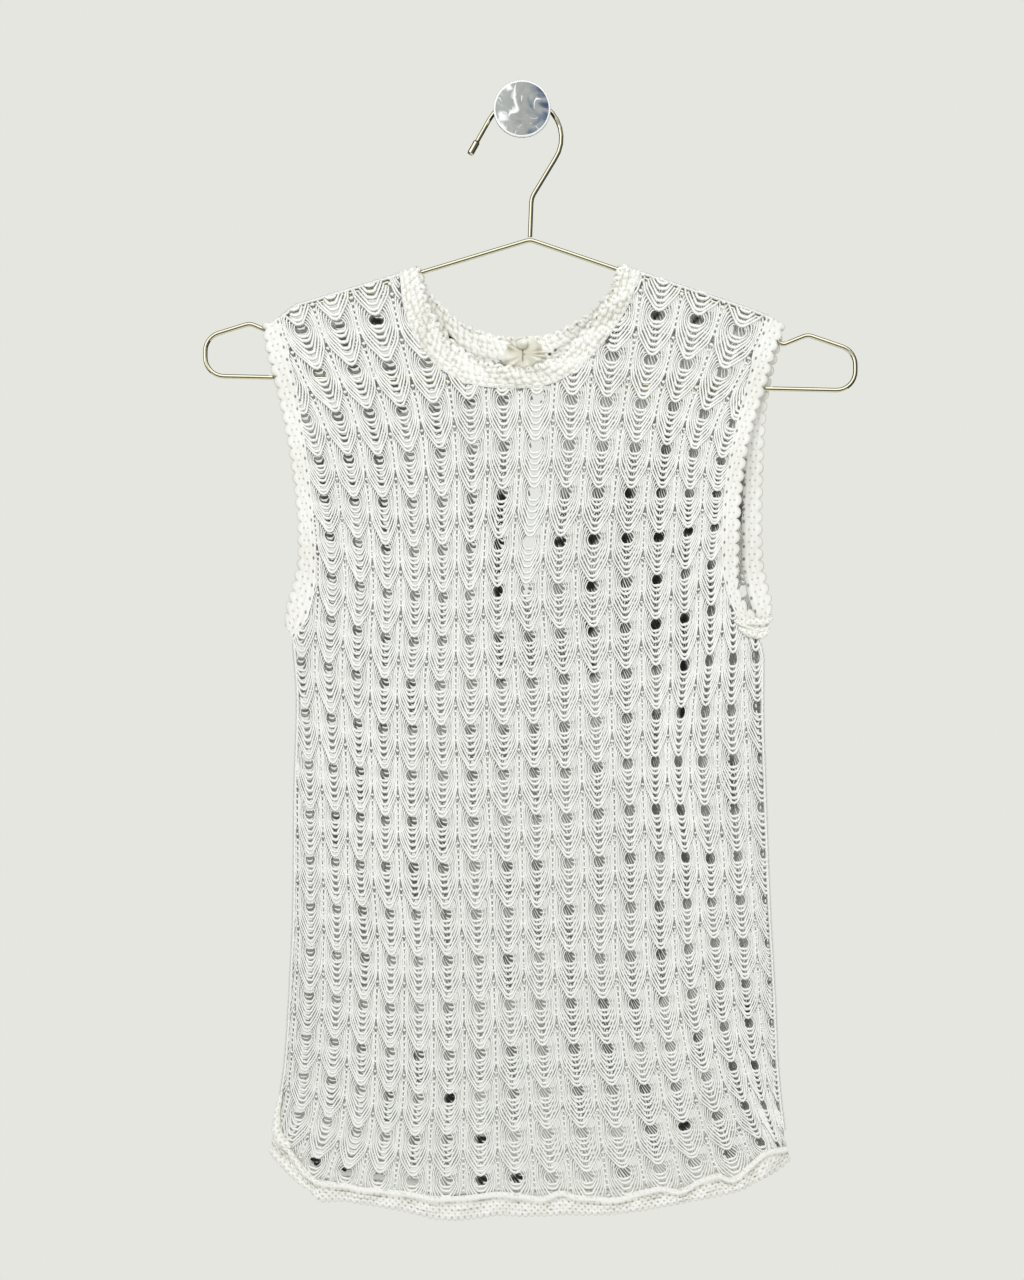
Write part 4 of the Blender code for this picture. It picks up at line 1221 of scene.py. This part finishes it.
def frill_mesh(name, face):
    """The gathered ends of the neckband round the button: soft uneven puckers under a dome, with
    shade painted in their folds, notch and sides, under the dome and beside its top.
    """
    reach = np.linspace(0.04, 1, FRILL_RINGS)[:, None]
    turn = np.linspace(0, 2 * math.pi, FRILL_SIDES + 1)[None, :]
    uneven = turn + 0.30 * np.sin(2 * turn + 0.6) + 0.22 * np.sin(3 * turn)
    uneven = uneven + 0.12 * np.sin(5 * turn)
    puckers = 0.5 + 0.5 * np.cos(FRILL_PETALS * uneven + 1.6 * reach)
    wide = 1 + (0.10 * np.sin(2 * turn + 1) + 0.08 * np.cos(5 * turn) + 0.05 * puckers) * reach
    x = FRILL.x + FRILL_HALF_WIDTH * reach * wide * np.cos(turn)
    z = FRILL.z + FRILL_HALF_HEIGHT * reach * wide * np.sin(turn)
    rim = far_from(DOME, x, z, DOME_HALF_WIDTH, DOME_HALF_HEIGHT)
    dome = np.clip(1 - rim, 0, 1)
    notch = bell(x - NOTCH_X, NOTCH_HALF_WIDTH) * smoothstep(DOME.z - 3.6, DOME.z - 4.4, z)
    notch = notch * smoothstep(NOTCH_FOOT, NOTCH_SHARP, z)
    side = bell(np.abs(x - 1.5) - 9.5, 2.6) * smoothstep(-163, -158, z)
    dome_shadows = 0
    for dome_shadow in DOME_SHADOWS:
        dome_shadows = dome_shadows + np.exp(-far_from(dome_shadow, x, z, DOME_SHADOW_HALF_WIDTH, DOME_SHADOW_HALF_HEIGHT))
    folds = puckers * smoothstep(0.2, 0.7, reach)
    edge = smoothstep(FRILL_EDGE, 1, reach)
    height = 1.0 + 1.5 * folds - 2.6 * edge + 2.8 * np.sqrt(dome)
    # Painted shade: the puckers' folds lighter, the sides and the notch between the gathered ends
    # darker
    tone = 0.68 + 0.24 * folds - 0.20 * side - 0.46 * notch
    # The dome is painted lighter at its top and darker at its foot, with a painted shadow round its
    # lower rim and two beside its top
    shaded = 0.70 + 0.24 * smoothstep(DOME.z - 1.5, DOME.z + 1.5, z)
    under = bell(np.sqrt(rim) - 1.05, 0.16) * smoothstep(DOME.z + 2, DOME.z - 2, z)
    tone = np.where(dome > 0, shaded, tone) - 0.24 * under - DOME_SHADOW_TONE * dome_shadows
    base, normal = face.surface(x, z, BAND_WALL)
    outer = base - normal * ((BAND_WALL / 2 + height)[..., None] * MM)
    inner = base - normal * (0.4 - 0.9 * edge)[..., None] * MM
    return wall_mesh(name, outer, inner, tone, reach * 10 + 0 * turn, reach + 0 * turn)


def button_mesh():
    """A plain round button with soft edges, standing on the outside of the back."""
    bpy.ops.object.select_all(action="DESELECT")
    place = (BUTTON_CENTRE.x * MM, HANGER_PLANE + BUTTON_OUT * MM, BUTTON_CENTRE.z * MM)
    bpy.ops.mesh.primitive_cylinder_add(
        vertices=BUTTON_SIDES, radius=BUTTON_RADIUS * MM, depth=BUTTON_THICKNESS * MM,
        location=place, rotation=(math.pi / 2, 0, 0),
    )
    button = bpy.context.object
    bpy.ops.object.transform_apply(location=True, rotation=True, scale=True)
    bevel = button.modifiers.new("round", "BEVEL")
    bevel.width = BUTTON_ROUNDING * MM
    bevel.segments = BUTTON_ROUNDING_STEPS
    bpy.ops.object.modifier_apply(modifier=bevel.name)
    bpy.ops.object.shade_smooth_by_angle(angle=math.radians(40))
    button.name = "rounded_button"
    return button


# ==== Materials ====


class Socket:
    """A node's output, with the arithmetic that the materials use."""

    def __init__(self, tree, link):
        self.tree, self.link = tree, link

    def combine(self, operation, first, second=0.0):
        return self.tree.node("ShaderNodeMath", {"operation": operation}, {0: first, 1: second})

    def maths(self, operation, second=0.0):
        return self.combine(operation, self, second)

    def clamped(self):
        """The value kept from 0 to 1."""
        return self.maths("MAXIMUM", 0.0).maths("MINIMUM", 1.0)

    def sibling(self, output):
        """Another output of the same node."""
        return Socket(self.tree, self.link.node.outputs[output])

    def __add__(self, other):
        return self.combine("ADD", self, other)

    def __radd__(self, other):
        return self.combine("ADD", other, self)

    def __sub__(self, other):
        return self.combine("SUBTRACT", self, other)

    def __rsub__(self, other):
        return self.combine("SUBTRACT", other, self)

    def __mul__(self, other):
        return self.combine("MULTIPLY", self, other)

    def __rmul__(self, other):
        return self.combine("MULTIPLY", other, self)


class NodeTree:
    """The node tree of a material or of the room."""

    def __init__(self, owner):
        owner.use_nodes = True
        self.nodes, self.links = owner.node_tree.nodes, owner.node_tree.links

    def put(self, socket, value):
        if isinstance(value, Socket):
            self.links.new(value.link, socket)
        else:
            socket.default_value = value

    def node(self, kind, settings=None, inputs=None, output=0):
        made = self.nodes.new(kind)
        for name, value in (settings or {}).items():
            if name == "stops":
                self.set_stops(made.color_ramp, value)
            else:
                setattr(made, name, value)
        for name, value in (inputs or {}).items():
            self.put(made.inputs[name], value)
        return Socket(self, made.outputs[output])

    def set_stops(self, ramp, stops):
        while len(ramp.elements) < len(stops):
            ramp.elements.new(0.5)
        for element, (place, colour) in zip(ramp.elements, stops):
            element.position = place
            element.color = (*colour, 1)

    def noise(self, place, scale, detail=2.0, distortion=0.0):
        inputs = {"Vector": place, "Scale": scale, "Detail": detail, "Distortion": distortion}
        return self.node("ShaderNodeTexNoise", {}, inputs)

    def mix(self, factor, first, second):
        """From one colour to another."""
        return self.node(
            "ShaderNodeMix", {"data_type": "RGBA"}, {0: factor, 6: first, 7: second}, 2
        )


class Shader(NodeTree):
    """A material and its node tree."""

    def __init__(self, name):
        self.material = bpy.data.materials.new(name)
        super().__init__(self.material)
        self.surface = self.nodes["Principled BSDF"]

    def place(self):
        return self.node("ShaderNodeTexCoord", output="Object")

    def attribute(self, name):
        return self.node("ShaderNodeAttribute", {"attribute_name": name}, output="Fac")

    def set(self, **values):
        for name, value in values.items():
            self.put(self.surface.inputs[name.replace("_", " ").title()], value)


# How fine the yarn's fuzz and its change of tint are, and how much each shows in its colour
FUZZ_SCALE, FUZZ_SHADE = 2600.0, 0.08
TINT_SCALE, TINT_SHADE = 22.0, 0.05
FUZZ_HEIGHT = 0.00025
HOLE_DEPTH = 0.0006

# One row of small holes along a band: its pitch and its shift in pitches, where it is in the band's
# width, how long and wide a hole is in millimetres, and how much shade is painted in it
Dots = namedtuple("Dots", "pitch shift part long wide depth")


def yarn_with_painted_shade(name, stops, dots=(), width=0.0):
    """Matt cotton with painted shade: its colour deepens between the strands where shade is
    painted, with fine fuzz and small holes that are painted dark inside.
    """
    shader = Shader(name)
    shade, place = shader.attribute("shade"), shader.place()
    fuzz, tint = shader.noise(place, FUZZ_SCALE, 3.0), shader.noise(place, TINT_SCALE)
    depth = shade + FUZZ_SHADE * (fuzz - 0.5) + TINT_SHADE * (tint - 0.5)
    height = fuzz * FUZZ_HEIGHT
    if dots:
        along, part = shader.attribute("along"), shader.attribute("part")
        for row in dots:
            turn = along * (1 / row.pitch) + row.shift
            over = (turn - turn.maths("FLOOR") - 0.5) * (row.pitch / row.long)
            aside = (part - row.part) * (width / row.wide)
            hole = 1.0 - (over * over + aside * aside)
            hole = hole.maths("MAXIMUM", 0.0).maths("POWER", 0.6)
            # Painted shade in the hole
            depth = depth - row.depth * hole
            height = height - HOLE_DEPTH * hole
    colour = shader.node("ShaderNodeValToRGB", {"stops": stops}, {0: depth})
    shader.set(base_color=colour, roughness=0.92, sheen_weight=0.25, sheen_roughness=0.5)
    bump = shader.node("ShaderNodeBump", {}, {"Strength": 0.5, "Distance": 1.0, "Height": height})
    shader.set(normal=bump)
    return shader.material


def metal_finish(name, colour, roughness, streak):
    shader = Shader(name)
    wear = shader.noise(shader.place(), streak, 4.0)
    shader.set(base_color=(*colour, 1), metallic=1.0, roughness=roughness + 0.06 * (wear - 0.4))
    return shader.material


# Painted reflections on the peg's disc: where the rim's painted highlight starts and how sharply,
# the rim's and the glints' colours, and the room's greys and blues as painted
RIM_START = 17.4
RIM_SHARPNESS = 4000.0
RIM_HIGHLIGHT_COLOUR = (0.88, 0.89, 0.89, 1)
GLINT_COLOUR = (0.86, 0.87, 0.87, 1)
REFLECTION_STOPS = (
    (0.30, (0.03, 0.05, 0.10)), (0.42, (0.16, 0.19, 0.23)), (0.50, (0.27, 0.28, 0.27)),
    (0.64, (0.34, 0.36, 0.34)), (0.70, (0.75, 0.76, 0.76)),
)


def chrome_painted_reflections():
    """Polished chrome with painted reflections: the soft greys and dark blues of the room painted
    into its colour, painted white glints, and a pale rim painted as a highlight.
    """
    shader = Shader("chrome")
    place = shader.place()
    across = shader.node("ShaderNodeSeparateXYZ", {}, {0: place}, "X")
    up = across.sibling("Z")
    wave = shader.noise(place, 70.0, 4.0, 1.5)
    # Painted reflection of the room
    seen = 0.6 * wave + 0.24 - 8.0 * across
    colour = shader.node("ShaderNodeValToRGB", {"stops": REFLECTION_STOPS}, {0: seen})
    radius = (across * across + up * up).maths("POWER", 0.5)
    rim = ((radius - RIM_START * MM) * RIM_SHARPNESS).clamped()
    colour = shader.mix(rim, colour, RIM_HIGHLIGHT_COLOUR)
    # Painted glints
    trace = shader.noise(place, 75.0, 0.0, 0.6)
    glint = (1.0 - 70.0 * (trace - 0.5).maths("ABSOLUTE")).clamped()
    glint = shader.noise(place, 110.0).maths("GREATER_THAN", 0.5) * glint
    colour = shader.mix(glint, colour, GLINT_COLOUR)
    shader.set(base_color=colour, metallic=1.0 - 0.8 * rim, roughness=0.12)
    return shader.material


def plain_finish(name, colour, roughness):
    shader = Shader(name)
    cloud = shader.noise(shader.place(), 300.0)
    shader.set(base_color=(*colour, 1), roughness=roughness + 0.1 * (cloud - 0.5))
    return shader.material


# ==== Assembly ====


def dress(mesh, material):
    mesh.materials.clear()
    mesh.materials.append(material)


def add_piece(name, mesh, material, slot, *nodes):
    obj = bpy.data.objects.new(name, mesh)
    bpy.context.scene.collection.objects.link(obj)
    dress(mesh, material)
    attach(obj, ROOT)
    if nodes:
        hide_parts(*nodes)
    return obj


# Each ramp turns painted shade into colour: white cotton at its top, deepening through warm greys
# to near black where the most shade is painted
LACE_STOPS = (
    (0.10, (0.015, 0.015, 0.015)), (0.45, (0.30, 0.30, 0.275)), (0.66, (0.60, 0.60, 0.565)),
    (0.95, (0.965, 0.97, 0.935)),
)
NECK_STOPS = (
    (0.10, (0.02, 0.02, 0.015)), (0.45, (0.36, 0.355, 0.30)), (0.72, (0.68, 0.675, 0.60)),
    (0.95, (0.91, 0.91, 0.87)),
)
# The gathers' ramp is creamier than the others: painted shade on the gathered white cotton
FRILL_STOPS = (
    (0.10, (0.10, 0.09, 0.06)), (0.45, (0.40, 0.38, 0.28)), (0.70, (0.70, 0.68, 0.57)),
    (0.92, (0.90, 0.895, 0.82)),
)
BAND_STOPS = (
    (0.10, (0.05, 0.05, 0.045)), (0.45, (0.40, 0.39, 0.34)), (0.75, (0.74, 0.73, 0.67)),
    (0.98, (0.90, 0.90, 0.87)),
)
ARM_DOTS = table(
    Dots,
    (ARM_SCALLOP, 0.5, 0.33, 0.8, 0.7, 0.30),
    (ARM_SCALLOP, 0.5, 0.62, 0.8, 0.7, 0.30),
    (ARM_SCALLOP, 0.0, 0.47, 0.75, 0.7, 0.30),
    (ARM_SCALLOP, 0.15, 0.06, 1.3, 0.8, 0.6),
)
NECK_DOTS = table(Dots, (NECK_SCALLOP, 0.5, 0.84, 0.8, 0.7, 0.3))
FOLD_DOTS = table(
    Dots,
    (HEM_STITCH, 0.5, 0.36, 1.0, 0.7, 0.22),
    (HEM_STITCH, 0.0, 0.50, 1.0, 0.7, 0.22),
    (HEM_STITCH, 0.5, 0.64, 1.0, 0.7, 0.22),
)
HEM_DOTS = table(
    Dots,
    (HEM_STITCH, 0.5, 0.38, 0.9, 0.6, 0.32),
    (HEM_STITCH, 0.0, 0.54, 0.9, 0.6, 0.28),
    (HEM_STITCH, 0.5, 0.70, 0.9, 0.6, 0.32),
    (HEM_STITCH, 0.0, 0.86, 0.9, 0.6, 0.28),
)

lace_yarn = yarn_with_painted_shade("white cotton lace", LACE_STOPS)
arm_yarn = yarn_with_painted_shade("white cotton armhole band", BAND_STOPS, ARM_DOTS, 10.5)
neck_yarn = yarn_with_painted_shade("white cotton neckband", NECK_STOPS, NECK_DOTS, 14.5)
frill_yarn = yarn_with_painted_shade("cream cotton gathers", FRILL_STOPS)
fold_yarn = yarn_with_painted_shade("white cotton folds", NECK_STOPS, FOLD_DOTS, 14.0)
hem_yarn = yarn_with_painted_shade("white cotton hem band", BAND_STOPS, HEM_DOTS, 13.0)
cord_yarn = plain_finish("white cotton cord", (0.86, 0.855, 0.81), 0.9)
brass = metal_finish("pale brass", (0.86, 0.82, 0.60), 0.05, 60.0)
chrome = chrome_painted_reflections()
cream = plain_finish("cream button", (0.86, 0.84, 0.74), 0.35)

LACE_PARTS = (
    ("upper", range(-2, 8)),
    ("middle", range(8, 15)),
    ("lower", range(15, 23)),
)
for face in (front, back):
    for part_name, rows in LACE_PARTS:
        name = f"lace_{face.name}_{part_name}"
        yarns = knit_lace(face, rows, np.random.default_rng(SEED + len(name) + rows[0]))
        piece = add_piece(name, yarns.mesh(name), lace_yarn, "lace_yarn", f"{face.name}_panel")
        flat, area = lace_cut(face, rows)
seams = seam_yarns(np.random.default_rng(SEED))
add_piece("seam_stitches", seams.mesh("seam_stitches"), lace_yarn, "lace_yarn")

# How many of the back neckband's sections are on the slit's left
split = sum(seam[0] < 0 for seam, free in back.neck)

Band = namedtuple("Band", "node face sections stitch lobes yarn waves gathered")
neck, arm, hem = (
    (neck_stitch, NECK_LOBES, neck_yarn), (arm_stitch, ARM_LOBES, arm_yarn),
    (hem_stitch, HEM_LOBES, hem_yarn),
)
BANDS = table(
    Band,
    ("neckband_front", front, front.neck, *neck, 0, 0),
    ("neckband_back_left", back, back.neck[:split], *neck, 0, 1),
    ("neckband_back_right", back, back.neck[split:], *neck, 0, -1),
    ("armband_left_front", front, front.left_armhole, *arm, 0, 0),
    ("armband_left_back", back, back.left_armhole, *arm, 0, 0),
    ("armband_right_front", front, front.right_armhole, *arm, 0, 0),
    ("armband_right_back", back, back.right_armhole, *arm, 0, 0),
    ("hem_band_front", front, hem_sections(front), *hem, HEM_WAVES, 0),
    ("hem_band_back", back, hem_sections(back), *hem, HEM_WAVES, 0),
)
for band in BANDS:
    name = f"knit_{band.node}"
    add_piece(name, knit_band(name, band), band.yarn, "band_yarn", band.node)

for node, material in (
    ("hanger_frame", brass), ("hanger_hook", brass), ("peg_disc", chrome), ("peg_arm", chrome),
    ("button_loop", cord_yarn),
):
    node_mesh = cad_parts[node].data
    dress(node_mesh, material)
    smooth(node_mesh)
    if node.startswith("peg"):
        node_mesh.set_sharp_from_angle(angle=math.radians(30))

button = button_mesh()
dress(button.data, cream)
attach(button, ROOT)
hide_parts("neck_button")
fold = roll_mesh("underarm_fold", front, UNDERARM_ROLLS)
add_piece("underarm_fold", fold, fold_yarn, "band_yarn", "armband_right_front")
corner = roll_mesh("hem_corner_fold", front, CORNER_ROLLS)
add_piece("hem_corner_fold", corner, fold_yarn, "band_yarn", "hem_band_front")
frill = frill_mesh("neck_gathers", back)
add_piece("neck_gathers", frill, frill_yarn, "band_yarn", "neckband_back_left")

GATHERED_PIECES = {
    "armband_right_front": ["underarm_fold"],
    "hem_band_front": ["hem_corner_fold"],
    "neckband_back_left": ["neck_gathers", "rounded_button", "button_loop"],
}
for band in BANDS:
    going = [bpy.data.objects[name] for name in GATHERED_PIECES.get(band.node, ())]
    band_cut(band.sections)

# ==== Camera, floor and light ====

VIEW_HEIGHT = 844.8
SENSOR = 36

camera_data = bpy.data.cameras.new("camera")
camera = bpy.data.objects.new("camera", camera_data)
bpy.context.scene.collection.objects.link(camera)
camera_data.sensor_fit = "AUTO"
camera_data.sensor_width = SENSOR
camera_data.lens = SENSOR * CAMERA_DISTANCE / VIEW_HEIGHT
camera.location = (VIEW_X * MM, HANGER_PLANE - CAMERA_DISTANCE * MM, VIEW_Z * MM)
camera.rotation_euler = (math.pi / 2, 0, 0)
bpy.context.scene.camera = camera


FLOOR_RADIUS = 1.5
FLOOR_HEIGHT = -1.45


def add_floor():
    bpy.ops.object.select_all(action="DESELECT")
    bpy.ops.mesh.primitive_circle_add(
        vertices=96, radius=FLOOR_RADIUS, fill_type="NGON", location=(0, 0, FLOOR_HEIGHT)
    )
    floor = bpy.context.object
    floor.name = "floor"
    shader = Shader("pale floor")
    shader.set(base_color=(0.78, 0.785, 0.75, 1), roughness=0.9)
    dress(floor.data, shader.material)


TOP_MIDDLE = (0, 0, -0.38)

# Each light's name, its place, its width and height, and its power
LIGHTS = (
    ("key", (-0.7, -1.9, 0.75), (1.2, 1.2), 21),
    ("fill", (1.3, -1.7, 0.0), (1.4, 1.4), 9),
    ("behind", (0.4, 1.9, 0.6), (1.6, 1.2), 20),
)


def add_light(name, place, size, power):
    data = bpy.data.lights.new(name, "AREA")
    data.shape = "RECTANGLE"
    data.size, data.size_y = size
    data.energy = power
    light = bpy.data.objects.new(name, data)
    light.location = place
    light.visible_glossy = False
    light.rotation_euler = (Vector(TOP_MIDDLE) - Vector(place)).to_track_quat("-Z", "Y").to_euler()
    bpy.context.scene.collection.objects.link(light)


EVEN_LIGHT = (0.62, 0.625, 0.62, 1)
SEEN_TONE = (0.783, 0.791, 0.745, 1)

# What metal mirrors: how bright the room is, from behind the top to the side it is lit from
ROOM_LIGHT_WAY = (-0.12, -0.40, 0.22)
ROOM_TONES = ((0.0, 0.02), (0.66, 0.04), (0.78, 0.16), (0.84, 0.70), (0.89, 1.40), (1.0, 1.30))


def light_room():
    """One tone for the camera, an even light for cloth, and a bright side that metal mirrors."""
    world = bpy.data.worlds.new("pale room")
    bpy.context.scene.world = world
    room = NodeTree(world)
    background = room.nodes["Background"]
    room.put(background.inputs["Color"], EVEN_LIGHT)
    seen = room.node("ShaderNodeBackground", {}, {"Color": SEEN_TONE})
    way = room.node("ShaderNodeTexCoord", output="Generated")
    towards = room.node(
        "ShaderNodeVectorMath", {"operation": "DOT_PRODUCT"}, {0: way, 1: ROOM_LIGHT_WAY}, "Value"
    )
    stops = [(place, (tone, tone, tone)) for place, tone in ROOM_TONES]
    mirrored = room.node("ShaderNodeValToRGB", {"stops": stops}, {0: towards + 0.5})
    mirrored = room.node("ShaderNodeBackground", {}, {"Color": mirrored})
    glossy = room.node("ShaderNodeLightPath", output="Is Glossy Ray")
    even = Socket(room, background.outputs[0])
    lit = room.node("ShaderNodeMixShader", {}, {0: glossy, 1: even, 2: mirrored})
    whole = room.node(
        "ShaderNodeMixShader", {}, {0: glossy.sibling("Is Camera Ray"), 1: lit, 2: seen}
    )
    room.put(room.nodes["World Output"].inputs["Surface"], whole)
    for light in LIGHTS:
        add_light(*light)


add_floor()
light_room()
bpy.context.scene.view_settings.view_transform = "Standard"
